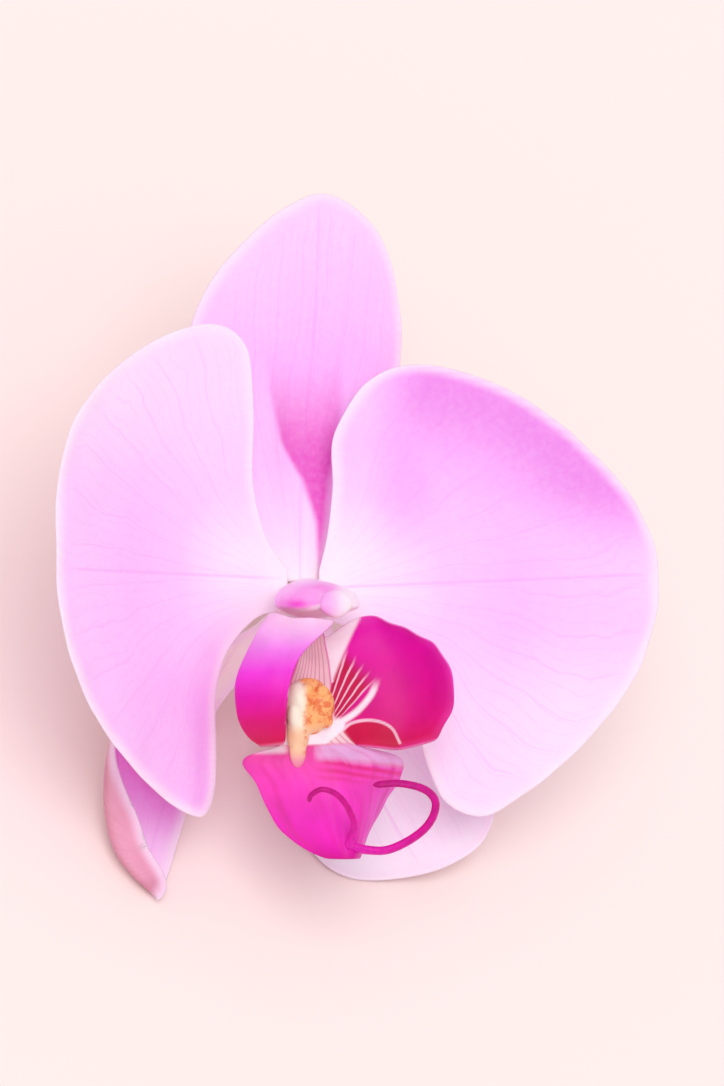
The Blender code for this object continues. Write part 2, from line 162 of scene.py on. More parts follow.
# Turns the quads at a sheet's corners, so that each is split from its corner and not across it.
def splitAtCorners(quads, edges):
    following = dict(edges)
    turned = quads.tolist()
    for row, quad in enumerate(turned):
        for spot in range(4):
            before, corner, after = quad[spot - 1], quad[spot], quad[(spot + 1) % 4]
            if following.get(before) == corner and following.get(corner) == after:
                turned[row] = quad[spot:] + quad[:spot]
    return np.array(turned)


# For each place: how far it is from a line, how far to the line's right, and the line's nearest point.
def nearestOn(x, y, line, steps=6):
    path = curveThrough(line, steps)
    best, side, foot = np.full(len(x), 1e9), np.zeros(len(x)), np.zeros((len(x), 2))
    for start, step in zip(path[:-1], np.diff(path, axis=0)):
        offset = np.stack([x, y], axis=1) - start
        share = np.clip(offset @ step / step.dot(step), 0, 1)
        gap = offset - share[:, None] * step
        distance = np.hypot(gap[:, 0], gap[:, 1])
        nearer = distance < best
        best[nearer] = distance[nearer]
        side[nearer] = np.sign(step[1] * offset[:, 0] - step[0] * offset[:, 1])[nearer]
        foot[nearer] = (start + share[:, None] * step)[nearer]
    return best, best * side, foot


# Gives a sheet and its values a front, a back and a rounded rim. "up" and "down" are its thickness.
def thicken(points, quads, up, down, values):
    normals = pointNormals(points, quads)
    if normals[:, 2].mean() < 0:
        quads, normals = quads[:, ::-1], -normals
    count = len(points)
    front = points + normals * up[:, None]
    back = points - normals * down[:, None]
    edges = borderEdges(quads)
    outward = {}
    for start, end in edges:
        out = np.cross(points[end] - points[start], normals[start] + normals[end])
        for corner in (start, end):
            outward[corner] = outward.get(corner, 0) + out
    rim = {}
    rimPoints = []
    for corner, out in outward.items():
        rim[corner] = 2 * count + len(rimPoints)
        reach = 0.45 * (up[corner] + down[corner])
        outer = out / max(np.linalg.norm(out), 1e-9) * reach
        rimPoints.append(0.5 * (front[corner] + back[corner]) + outer)
    quads = splitAtCorners(quads, edges)
    faces = quads.tolist() + (quads[:, (0, 3, 2, 1)] + count).tolist()
    for start, end in edges:
        faces.append([end, start, rim[start], rim[end]])
        faces.append([rim[end], rim[start], start + count, end + count])
    source = np.concatenate([np.arange(count), np.arange(count), np.array(list(rim), dtype=int)])
    values = {key: numbers[source] for key, numbers in values.items()}
    values["back"] = np.concatenate([np.zeros(count), np.ones(count), np.full(len(rim), 0.5)])
    return np.vstack([front, back, np.array(rimPoints)]), faces, values


# A closed tube of rings. Each ring is a list of points, and the ends are closed with one face.
def skinRings(rings):
    count, sides = rings.shape[:2]
    index = np.arange(count * sides).reshape(count, sides)
    wrapped = np.hstack([index, index[:, :1]])
    faces = gridQuads(wrapped).tolist() + [index[0, ::-1].tolist(), index[-1].tolist()]
    return rings.reshape(-1, 3), faces


# Rings round a path, each with its own radius; "profile" changes the radius round the ring.
def tubeRings(path, radii, sides, profile):
    side = np.array((1.0, 0.0, 0.0))
    angles = np.linspace(0, 2 * math.pi, sides, endpoint=False)
    rings = []
    for index in range(len(path)):
        ahead = path[min(index + 1, len(path) - 1)] - path[max(index - 1, 0)]
        ahead = ahead / np.linalg.norm(ahead)
        side = side - ahead * side.dot(ahead)
        side = side / np.linalg.norm(side)
        reach = radii[index] * profile(index / (len(path) - 1), angles)
        rings.append(path[index] + np.outer(np.cos(angles) * reach, side)
                     + np.outer(np.sin(angles) * reach, np.cross(ahead, side)))
    return np.array(rings)


# Closes a tube's radii to a round end over its first and its last few rings.
def roundEnds(radii, caps):
    place = np.arange(len(radii), dtype=float)
    first, last = (np.sqrt(np.clip(1 - (1 - np.minimum(away / cap, 1)) ** 2, 0.004, 1))
                   for away, cap in zip((place, place[::-1]), caps))
    return radii * (first * last)


# Turns points in the flower's frame into a smooth mesh object on the floor, with its named values.
def addPiece(name, points, faces, values, material, node, slot):
    turn = np.array(lieMatrix)
    placed = points * mm @ turn[:3, :3].T + turn[:3, 3]
    mesh = bpy.data.meshes.new(name)
    mesh.from_pydata(placed.tolist(), [], faces)
    for key, numbers in values.items():
        attribute = mesh.attributes.new(key, "FLOAT", "POINT")
        attribute.data.foreach_set("value", np.asarray(numbers, dtype=np.float32))
    mesh.shade_smooth()
    mesh.materials.append(material)
    piece = bpy.data.objects.new(name, mesh)
    bpy.context.collection.objects.link(piece)
    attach(piece, "root")
    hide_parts(node)
    say(f"{name}, {len(faces)} faces")


def linear(code):
    parts = [int(code[i:i + 2], 16) / 255 for i in (1, 3, 5)]
    return tuple(c / 12.92 if c <= 0.04045 else ((c + 0.055) / 1.055) ** 2.4 for c in parts)


def pick(sockets, key):
    return sockets[key] if isinstance(key, int) else next(
        socket for socket in sockets if socket.name == key and socket.enabled)


# Adds one node; a kind in capitals is a Math operation. Values after the kind feed its inputs in order;
# named ones are its properties, its inputs, a ramp's "stops", or a map range's "ends" (from min, from
# max, to max, to min), which "softEnds" eases. A node or output makes a link, and a hex code a colour.
def addNode(tree, kind, *inputs, **settings):
    node = tree.nodes.new("ShaderNode" + ("Math" if kind.isupper() else kind))
    if kind.isupper():
        node.operation = kind
    if kind == "Mix":
        node.data_type = "RGBA"
    for key, value in [*settings.items(), *enumerate(inputs)]:
        if isinstance(value, str) and value.startswith("#"):
            value = (*linear(value), 1.0)
        if hasattr(value, "outputs"):
            value = next(item for item in value.outputs if item.enabled)
        if key == "stops":
            for spot in range(len(value) - 2):
                node.color_ramp.elements.new(0.5)
            for element, (place, code) in zip(node.color_ramp.elements, value):
                element.position = place
                element.color = (*linear(code), 1.0)
        elif key in ("ends", "softEnds"):
            node.interpolation_type = "SMOOTHSTEP" if key == "softEnds" else "LINEAR"
            for name, end in zip(("From Min", "From Max", "To Max", "To Min"), value):
                pick(node.inputs, name).default_value = end
        elif isinstance(value, bpy.types.NodeSocket):
            tree.links.new(value, pick(node.inputs, key))
        elif isinstance(key, str) and hasattr(node, key):
            setattr(node, key, value)
        else:
            pick(node.inputs, key).default_value = value
    return node


# Starts a material with the named values of its mesh and with its noises, each given as its grain in
# millimetres, its detail and its roughness.
def startMaterial(name, keys=(), grains=()):
    material = bpy.data.materials.new(name)
    material.use_nodes = True
    material.node_tree.nodes.clear()
    add = partial(addNode, material.node_tree)
    values = [add("Attribute", attribute_name=key).outputs["Fac"] for key in keys]
    place = add("TexCoord").outputs["Object"] if grains else None
    noises = [add("TexNoise", place, Scale=1 / (size * mm), Detail=detail, Roughness=rough)
              for size, detail, rough in grains]
    return material, add, values, noises


# Ends a material by its look: "bumps" are strength and depth, "gloss" is roughness, IOR and specular
# level, and "glow", the light below the surface, is weight, radii and scale. Depth and scale are mm.
def finishMaterial(material, look, colour, height):
    add = partial(addNode, material.node_tree)
    (strength, depth), (roughness, ior, specular) = look["bumps"], look["gloss"]
    weight, radii, scale = look["glow"]
    normal = add("Bump", Strength=strength, Distance=depth * mm, Height=height)
    shader = add("BsdfPrincipled", **{
        "Base Color": colour, "Roughness": roughness, "IOR": ior, "Specular IOR Level": specular,
        "Subsurface Weight": weight, "Subsurface Radius": radii, "Subsurface Scale": scale * mm,
        "Sheen Weight": look.get("sheen", 0.0), "Normal": normal})
    add("OutputMaterial", shader)
    return material


# The skin of a small piece: a ground, coats laid over it by a value of the mesh or a noise, a shade, and
# the face of a cut. "cloud" is the first noise and "grain" the last.
def skinMaterial(name, look, keys):
    material, add, values, noises = startMaterial(name, keys, look["grains"])
    sources = dict(zip((*keys, "cloud", "grain"), (*values, noises[0], noises[-1])))
    colour = look["ground"]
    if "along" in keys:
        colour = add("ValToRGB", sources["along"], stops=colour)
    for coat, key, *ends in look["coats"]:
        amount = add("MapRange", sources[key], ends=ends) if ends else sources[key]
        colour = add("Mix", Factor=amount, A=colour, B=look[coat])
    if "shade" in look:
        shade = add("MapRange", sources["grain"], ends=look["shade"])
        colour = add("VectorMath", colour, operation="SCALE", Scale=shade)
    if "cut" in keys:
        onCut = add("MapRange", sources["cut"], ends=(1.0, 0.97))
        colour = add("Mix", Factor=onCut, A=colour, B=add("ValToRGB", sources["cut"], stops=look["cut"]))
    return finishMaterial(material, look, colour, sources["grain"])


# Petal and sepal skin: living tissue, waxy with a velvet of tiny domed cells, so it is soft and
# satiny and light glows through it. Veins show a little darker and lie in shallow furrows. The cells
# are drawn about eight times as coarse as real ones, so that they show. Widths are in millimetres.
tepalSkin = {
    "grains": [(13.0, 3.0, 0.5), (7.0, 2.0, 0.5), (0.9, 2.0, 0.65), (0.28, 1.0, 0.5)],
    "bumps": (0.4, 0.05), "gloss": (0.52, 1.42, 0.3), "glow": (0.4, (1.0, 0.5, 0.9), 0.8), "sheen": 0.1,
    # grain is how much of the painted glints, light specks over the cells, shows on the face.
    "grain": 0.1, "veinMargin": (0.4, 4.0), "ribWidth": (0.34, 0.04), "keelWidth": (1.9, 0.2),
    "edgeWidth": (1.7, 0.0), "edgeShow": 0.8, "rearVeinShow": 0.45, "rearFlush": 0.8, "rearDrift": 0.4,
    "furrow": -0.6, "cell": 0.5,
}
petalLook = {
    **tepalSkin,
    "face": [(0.0, "#fff4fb"), (0.13, "#ffe8ff"), (0.36, "#ffccff"), (0.62, "#fdc2fe"), (0.97, "#fdcafe")],
    "flush": "#e884e4", "drift": 0.1, "vein": "#ea86e8", "veinShow": 0.18, "ribShow": 0.26,
    "paintedGlint": "#ffe6ff", "margin": "#ffe6fb", "veins": [(15, 0.16, 0.05), (43, 0.30, 0.07)],
    "rear": [(0.0, "#f3ead6"), (0.1, "#f8e2ee"), (0.4, "#f6cdf2"), (1.0, "#f7d0f5")],
    "rearVein": "#e3a0da", "keel": "#e9b5dc", "keelShow": 0.4,
}
sepalLook = {
    **tepalSkin,
    "face": [(0.0, "#fff0fa"), (0.1, "#ffdcfd"), (0.3, "#ffc8ff"), (0.65, "#fdbefe"), (0.97, "#fdcdfd")],
    "flush": "#e656c6", "drift": 0.06, "vein": "#e777df", "veinShow": 0.16, "ribShow": 0.2,
    "paintedGlint": "#ffe6ff", "margin": "#ffe2f9", "veins": [(11, 0.16, 0.05), (31, 0.30, 0.07)],
    "rear": [(0.0, "#e8dcb8"), (0.08, "#efd0d0"), (0.4, "#ecb0c0"), (0.8, "#eba4bd"), (1.0, "#eda6c8")],
    "rearVein": "#cf7c98", "keel": "#cf86a0", "keelShow": 0.6,
}
paleSepalLook = {
    **sepalLook, "veinShow": 0.1,
    "face": [(0.0, "#fff4fa"), (0.1, "#ffeffe"), (0.5, "#feecff"), (0.97, "#feecff")],
}
# The left lower sepal: cream at its foot, then a band of painted shade, deep magenta where the petal above
# shades it, paling to its tip.
shadedSepalLook = {
    **sepalLook,
    "face": [(0.0, "#fff4ec"), (0.3, "#fff0ea"), (0.42, "#f85ace"), (0.6, "#fc6edb"),
             (0.68, "#ff9cf0"), (0.78, "#ffc8fb"), (1.0, "#fee0fe")],
    "rear": [(0.0, "#e8dcb8"), (0.1, "#f2d8cc"), (0.4, "#efbec9"), (0.8, "#eaaec2"), (1.0, "#e99cbd")],
}


def tepalMaterial(name, look):
    material, add, values, noises = startMaterial(
        name, ("along", "side", "midline", "margin", "flush", "back"), look["grains"])
    along, side, midline, margin, flush, back = values
    cloud, streak, speckle, cells = noises
    veins = []
    for count, width, bend in look["veins"]:
        lane = add("MULTIPLY_ADD", streak, bend, side)
        turn = add("MULTIPLY", lane, math.pi * count)
        height = add("ABSOLUTE", add("SINE", turn))
        veins.append(add("MapRange", height, softEnds=(width, 0.0)))
    fine = add("MULTIPLY", veins[1], add("MapRange", along, ends=(0.2, 0.6, 0.6)))
    inside = add("MapRange", margin, ends=look["veinMargin"])
    network = add("MULTIPLY", add("MAXIMUM", veins[0], fine), inside)
    middle = add("ABSOLUTE", midline)
    rib = add("MULTIPLY", add("MapRange", middle, softEnds=look["ribWidth"]), inside)
    # painted glow: the pale edge is partly the margin's own paler colour and partly light glowing through the
    # thin edge
    edge = add("MapRange", margin, softEnds=(*look["edgeWidth"], look["edgeShow"]))

    face, rear = (add("ValToRGB", along, stops=look[key]) for key in ("face", "rear"))
    # The flush coats lay a rosy flush and, on the upper sepal and the petals, painted shade.
    for coat, amount in (
            ("margin", add("MapRange", flush, ends=(0.0, -1.0))), ("flush", flush),
            ("flush", add("MapRange", cloud, ends=(0.4, 0.75, look["drift"]))),
            ("vein", add("MULTIPLY", network, look["veinShow"])),
            ("vein", add("MULTIPLY", rib, look["ribShow"])),
            # painted glints: light specks scattered over the cells
            ("paintedGlint", add("MapRange", speckle, ends=(0.35, 0.7, look["grain"]))), ("margin", edge)):
        face = add("Mix", Factor=amount, A=face, B=look[coat])
    for coat, amount in (
            ("rearVein", add("MULTIPLY", network, look["rearVeinShow"])),
            ("keel", add("MapRange", middle, softEnds=(*look["keelWidth"], look["keelShow"]))),
            ("rearVein", add("MapRange", cloud, ends=(0.4, 0.8, look["rearDrift"]))),
            ("rearVein", add("MULTIPLY", flush, look["rearFlush"], use_clamp=True)),
            ("margin", edge)):
        rear = add("Mix", Factor=amount, A=rear, B=look[coat])
    colour = add("Mix", Factor=back, A=face, B=rear)
    furrow = add("MULTIPLY", network, look["furrow"])
    relief = add("MULTIPLY_ADD", cells, look["cell"], furrow)
    return finishMaterial(material, look, colour, relief)


# Outlines lie flat: u runs out from the claw and v across. They go from the claw along side a, round
# the tip and back along side b, and the corners are the points where the sides meet the tip. The flush
# is how rosy a place is, or how pale below zero; on the upper sepal and the petals it holds painted shade.
petalSheet = {"slot": "petal", "rows": 130, "columns": 130, "across": (0.0, 1.0, 0.0), "bow": 0.0,
              "middle": 0.38, "edge": 0.14, "ruffle": 0.3}
lowerSheet = {"slot": "sepal", "rows": 110, "columns": 90, "corners": (6, 11), "rise": (-0.72, 0.0166),
              "middle": 0.42, "edge": 0.16, "roll": 0.2}
upperSepal = {
    "name": "upperSepal", "node": "dorsal_sepal", "slot": "sepal", "rows": 120, "columns": 96,
    "origin": (0.0, joint["neckY"] + joint["clawReach"], joint["sepalZ"]),
    "out": (0.0, 1.0, 0.0), "across": (1.0, 0.0, 0.0),
    "outline": [(0.0, 3.4), (5.0, 5.6), (12.0, 9.4), (19.0, 14.2), (27.0, 16.6), (36.5, 16.8),
                (44.8, 13.8), (48.9, 7.4), (47.6, 2.2), (43.6, -3.6), (38.0, -9.0),
                (31.5, -12.4), (24.0, -13.4), (17.0, -12.0), (10.0, -8.2), (5.0, -5.4), (0.0, -3.4)],
    "corners": (5, 10), "rise": (-0.15, -0.0003), "bow": -0.008, "groove": (1.6, 3.0, 30.0),
    "middle": 0.42, "edge": 0.16, "roll": 0.35, "ruffle": 0.22, "rib": (0.0, 0.12), "seed": 4,
    # painted shade at its foot: a rosy wedge where the groove between the petals lies in shadow, by the
    # places of its left and right side along the sepal
    "wedge": {"u": [2.8, 6.9, 12.3, 17.2, 23.5, 30.0], "left": [2.2, 2.3, 1.1, -1.8, -3.2, -3.8],
              "right": [4.0, 4.9, 5.8, 7.4, 8.2, 8.6]},
    "flush": lambda u, v, margin: (
        smooth(31.0, 13.0, u) * smooth(0.0, 1.1, v - np.interp(u, *pickShadeWedge("left")))
        * smooth(0.0, 1.6, np.interp(u, *pickShadeWedge("right")) - v)),
}
rightPetal = {
    "name": "rightPetal", "node": "petal_right", **petalSheet,
    "origin": (joint["clawReach"], joint["clawY"], joint["petalZ"]),
    "out": (1.0, 0.0, 0.0),
    "outline": [(0.0, 2.4), (0.9, 6.6), (1.5, 13.0), (1.7, 20.0), (5.6, 26.4), (11.2, 28.7), (18.0, 27.8),
                (25.0, 25.0), (31.6, 20.6), (37.4, 15.2), (41.4, 10.0), (43.4, 4.8), (43.6, -1.0),
                (42.4, -7.0), (39.2, -13.2), (33.8, -19.6), (28.0, -24.6), (21.4, -28.8), (15.6, -26.8),
                (12.8, -20.0), (11.0, -13.2), (7.6, -8.4), (3.6, -5.0), (0.0, -3.2)],
    "corners": (4, 17), "rise": (0.15, 0.0), "roll": 0.45, "rib": (0.3, 0.04), "seed": 11,
    # painted shade: rosier along the upper outer margin; paler towards the lower side
    "flush": lambda u, v, margin: (
        0.9 * smooth(17.0, 2.5, margin) * smooth(3.0, 14.0, v) * smooth(4.0, 14.0, u)
        - 0.7 * smooth(-3.0, -17.0, v)),
}
leftPetal = {
    "name": "leftPetal", "node": "petal_left", **petalSheet,
    "origin": (-joint["clawReach"], joint["clawY"], joint["petalZ"]),
    "out": (-1.0, 0.0, 0.0),
    "outline": [(0.0, 2.4), (2.6, 6.8), (4.4, 13.6), (4.3, 22.6), (5.4, 31.0), (9.8, 33.6), (17.0, 32.2),
                (25.2, 28.0), (31.8, 22.4), (34.8, 16.0), (35.4, 7.6), (34.9, -1.8), (33.0, -8.6),
                (29.0, -15.6), (23.2, -21.6), (17.2, -26.2), (12.2, -28.6), (10.0, -25.6),
                (9.8, -19.6), (10.0, -13.8), (8.4, -8.0), (5.0, -4.2), (2.4, -2.8), (0.0, -2.4)],
    "corners": (4, 16), "rise": (0.12, 0.0078), "roll": 0.4, "rib": (1.5, 0.04), "seed": 23,
    # painted shade: a rosy band along the lower inner margin, where the fold shades it; a little rosier low
    # down and paler towards the top
    "flush": lambda u, v, margin: (
        0.1 * smooth(4.0, -18.0, v) - 0.6 * smooth(8.0, 27.0, v)
        + 0.3 * bump(margin, 2.4, 1.6) * smooth(-9.0, -15.0, v) * smooth(16.0, 12.0, u)),
}
leftSepal = {
    "name": "leftSepal", "node": "lateral_sepal_left", **lowerSheet,
    "origin": (-lateralX, joint["neckY"] - lateralY, joint["sepalZ"]),
    "out": (-0.442, -0.897, 0.0), "across": (-0.897, 0.442, 0.0),
    "outline": [(0.0, 1.5), (4.0, 3.2), (8.0, 7.2), (14.0, 12.2), (20.0, 13.8), (26.0, 13.6), (32.0, 13.3),
                (36.4, 11.9), (40.2, 8.0), (42.0, 2.8), (41.2, 0.2), (38.4, -1.2),
                (34.0, -1.6), (28.0, -1.4), (21.0, 0.2), (14.0, 0.8), (8.0, 0.0), (4.0, -1.0), (0.0, -1.5)],
    "crease": [(0.0, 14.0), (12.0, 12.6), (20.0, 11.2), (26.0, 9.9), (31.0, 8.0), (35.4, 5.0),
               (38.3, -0.8), (39.3, -2.8)], "creaseRadius": (2.8, 0.8), "creaseTurn": 155.0,
    "bow": 0.0, "ruffle": 0.12, "rib": (3.5, -0.06), "seed": 31,
    "flush": lambda u, v, margin: (
        0.9 * bump(-nearestOn(u, v, leftSepal["crease"])[1] / foldRadius(u, leftSepal), 1.5, 0.75)),
}
rightSepal = {
    "name": "rightSepal", "node": "lateral_sepal_right", **lowerSheet,
    "origin": (lateralX, joint["neckY"] - lateralY, joint["sepalZ"]),
    "out": (0.357, -0.934, 0.0), "across": (0.934, 0.357, 0.0),
    "outline": [(0.0, 1.5), (4.0, 2.8), (9.0, 6.2), (16.0, 11.0), (24.0, 15.2), (29.0, 16.4), (33.2, 15.2),
                (36.2, 11.6), (37.0, 6.0), (36.2, 0.4), (34.2, -4.8), (31.0, -7.8),
                (26.0, -8.6), (18.0, -7.2), (10.0, -4.6), (4.0, -2.4), (0.0, -1.5)],
    "bow": 0.012, "ruffle": 0.18, "rib": (0.5, 0.09), "seed": 47,
    "flush": lambda u, v, margin: 0 * u,
}
# What they share, in millimetres: rounds of evening out, wave lengths, where they start to move, how
# far in the ruffle and the thin margin reach, and the sizes of furrows and midrib on face and back.
sheet = {
    "evenOut": 10, "rollLength": 26.0, "ruffleLength": 8.5, "ruffleReach": 3.5, "free": (3.0, 16.0),
    "clawEnd": 3.0, "thinMargin": 5.0, "furrows": 15, "furrowMargin": (0.5, 3.0), "furrowStart": (0.1, 0.3),
    "furrowFace": 0.04, "furrowBack": 0.03, "ribWidth": 0.9, "ribFade": (1.0, 0.35), "ribFace": 0.14,
    "ribBack": 0.32,
}


# The places of the painted shade wedge at the upper sepal's foot.
def pickShadeWedge(side):
    return upperSepal["wedge"]["u"], upperSepal["wedge"][side]


def foldRadius(u, spec):
    near, far = spec["creaseRadius"]
    return near + (far - near) * u / spec["crease"][-1][0]


# Turns side a of a flat sheet over along a crease: new places in the sheet, and the lift over it.
def foldOver(u, v, spec):
    distance, right, foot = nearestOn(u, v, spec["crease"], 12)
    radius = foldRadius(foot[:, 0], spec)
    angle = np.minimum(distance / radius, math.radians(spec["creaseTurn"]))
    past = distance - radius * angle
    reach = radius * np.sin(angle) + past * np.cos(angle)
    share = np.where(right < 0, reach / np.maximum(distance, 1e-9), 1.0)
    lift = np.where(right < 0, radius * (1 - np.cos(angle)) + past * np.sin(angle), 0.0)
    return foot[:, 0] + (u - foot[:, 0]) * share, foot[:, 1] + (v - foot[:, 1]) * share, lift


# A sepal or petal: its flat outline filled with rows and bent as its solid is, with a soft roll to
# the face, a ruffled margin, a midrib, furrows along the veins, and a thickness that thins outwards.
def buildTepal(spec, material):
    path = curveThrough(spec["outline"])
    first, second = (corner * curveSteps for corner in spec["corners"])
    sideA = spread(path[:first + 1], spec["rows"])
    tip = spread(path[first:second + 1], spec["columns"])
    sideB = spread(path[:second - 1:-1], spec["rows"])
    claw = np.linspace(sideA[0], sideB[0], spec["columns"])
    flat = blendEdges(claw, tip, sideA, sideB).reshape(-1, 2)
    quads = gridQuads(np.arange(len(flat)).reshape(spec["rows"], spec["columns"]))
    u, v = relax(flat, quads, sheet["evenOut"]).T
    s, t = (grid.ravel() for grid in np.meshgrid(np.linspace(0, 1, spec["columns"]),
                                                 np.linspace(0, 1, spec["rows"])))
    margin = np.min([np.hypot(u - x, v - y) for x, y in path[::3]], axis=0)
    slope, arch = spec["rise"]
    outwards, sideways, turned = foldOver(u, v, spec) if "crease" in spec else (u, v, 0.0)
    lift = turned + slope * outwards + arch * outwards ** 2 + spec["bow"] * v ** 2
    if "groove" in spec:
        depth, width, length = spec["groove"]
        lift -= depth * bump(v, 0.0, width) * np.sin(math.pi * np.minimum(u / length, 1.0))
    free = smooth(*sheet["free"], u)
    lift += spec["roll"] * free * rolling(u, v, sheet["rollLength"], spec["seed"])
    lift += (spec["ruffle"] * free * np.exp(-margin / sheet["ruffleReach"])
             * rolling(u, v, sheet["ruffleLength"], spec["seed"] + 1))
    outwards = outwards - joint["clawTuck"] * (1 - smooth(0.0, sheet["clawEnd"], u))
    points = (np.array(spec["origin"]) + np.outer(outwards, spec["out"]) + np.outer(sideways, spec["across"])
              + np.outer(lift, (0, 0, 1)))
    ribPlace, ribSlope = spec["rib"]
    midline = v - ribPlace - ribSlope * u
    body = smooth(0.0, sheet["thinMargin"], margin)
    rib = bump(midline, 0.0, sheet["ribWidth"]) * smooth(*sheet["ribFade"], t) * body
    furrow = ((np.abs(np.sin(math.pi * sheet["furrows"] * s)) ** 0.5 - 1)
              * smooth(*sheet["furrowMargin"], margin) * smooth(*sheet["furrowStart"], t))
    half = spec["edge"] + (spec["middle"] - spec["edge"]) * body
    up = half + sheet["furrowFace"] * furrow - sheet["ribFace"] * rib
    down = half - sheet["furrowBack"] * furrow + sheet["ribBack"] * rib
    values = {"along": t, "side": s, "midline": midline, "margin": margin,
              "flush": spec["flush"](u, v, margin)}
    addPiece(spec["name"], *thicken(points, quads, up, down, values), material, spec["node"], spec["slot"])


def buildTepals():
    petals = tepalMaterial("waxyPetalSkin", petalLook)
    for spec, material in ((upperSepal, tepalMaterial("waxySepalSkin", sepalLook)),
                           (rightPetal, petals), (leftPetal, petals),
                           (leftSepal, tepalMaterial("deeperSepalSkin", shadedSepalLook)),
                           (rightSepal, tepalMaterial("palerSepalSkin", paleSepalLook))):
        buildTepal(spec, material)


lip = {
    # y, middle x, depth z in the middle, half width, and depth z at the edge, from the claw to the tip
    "sections": [(-4.3, -0.2, 2.4, 1.7, 2.8), (-9.4, -1.2, 5.6, 2.6, 6.6), (-13.0, -2.5, 8.0, 3.6, 8.8),
                 (-17.0, -3.0, 9.6, 4.6, 9.6), (-20.0, -1.8, 10.6, 6.6, 9.0), (-22.0, -0.4, 11.3, 10.8, 7.8),
                 (-24.6, 0.2, 12.2, 9.6, 7.8), (-28.0, 0.4, 13.4, 7.8, 6.6), (-31.0, 0.3, 14.3, 5.8, 7.4),
                 (-33.0, 0.2, 14.9, 3.9, 10.2), (-34.1, 0.3, 15.1, 2.2, 13.2)],
    "edgePower": 1.7, "foldAt": 0.75,
    "throatFrom": 0.5, "throatTo": 4.0, "widenBy": 0.6,
    "clawRows": 10, "throatRows": 64, "tongueRows": 104, "floorColumns": 72, "lobeColumns": 64,
    "middle": 0.42, "edge": 0.15, "thinMargin": 2.6, "evenOut": 12,
    "ruffle": 0.10, "ruffleReach": 1.6, "ruffleLength": 5.0, "ruffleSeed": 71,
    "roll": 0.07, "rollLength": 6.0, "rollSeed": 83,
    "nerves": 5.5, "nerveDepth": 0.10, "keel": 0.30, "keelWidth": 0.12,
}
lipLobes = {
    "right": {"side": 1, "top": [(6.3, -3.9, 6.8), (12.2, -7.2, 14.0)],
              "front": [(12.2, -7.2, 14.0), (14.0, -10.6, 15.2), (14.1, -15.2, 15.2), (12.6, -19.4, 13.8)],
              "foot": [(8.5, -20.6, 10.8), (12.6, -19.4, 13.8)], "bulge": (2.2, 2.2)},
    "left": {"side": -1, "top": [(-7.4, -3.5, 6.8), (-5.4, -4.1, 11.0), (-0.6, -4.25, 12.9)],
             "front": [(-0.6, -4.25, 12.9), (-5.2, -7.8, 14.0), (-7.6, -11.4, 14.8), (-8.2, -16.0, 14.8),
                       (-7.6, -19.8, 12.8)],
             "foot": [(-9.4, -20.0, 9.6), (-7.6, -19.8, 12.8)], "bulge": (0.8, 3.4)},
    "bulgeTowards": (0.86, 0.0, -0.5), "bulgePower": 0.6,
}


# Points of the lip's floor, at places counted in sections and at s from -1 to 1 across.
def lipFloor(places, s):
    steps = 40
    lines = curveThrough(lip["sections"], steps)
    spots = np.arange(len(lines)) / steps
    y, x, depth, half, edgeDepth = (np.interp(places, spots, lines[:, axis]) for axis in range(5))
    z = depth + (edgeDepth - depth) * np.abs(s) ** lip["edgePower"]
    return np.stack([x + s * half, y + 0 * s, z], axis=-1)


def lobePatch(spec, foldLine):
    count = lip["lobeColumns"]
    top = spread(curveThrough([foldLine[0], *spec["top"]]), count)
    foot = spread(curveThrough([foldLine[-1], *spec["foot"]]), count)
    front = spread(curveThrough(spec["front"]), len(foldLine))
    patch = blendEdges(foldLine, front, top, foot)
    t = np.linspace(0, 1, count)[:, None]
    s = np.linspace(0, 1, len(foldLine))[None, :]
    atBack, atFoot = spec["bulge"]
    push = (atBack + (atFoot - atBack) * s) * np.clip(np.sin(math.pi * s), 0, 1) ** lipLobes["bulgePower"]
    push = push * np.sin(math.pi * t)
    return patch + push[..., None] * np.array(lipLobes["bulgeTowards"]) * (spec["side"], 0, 1)


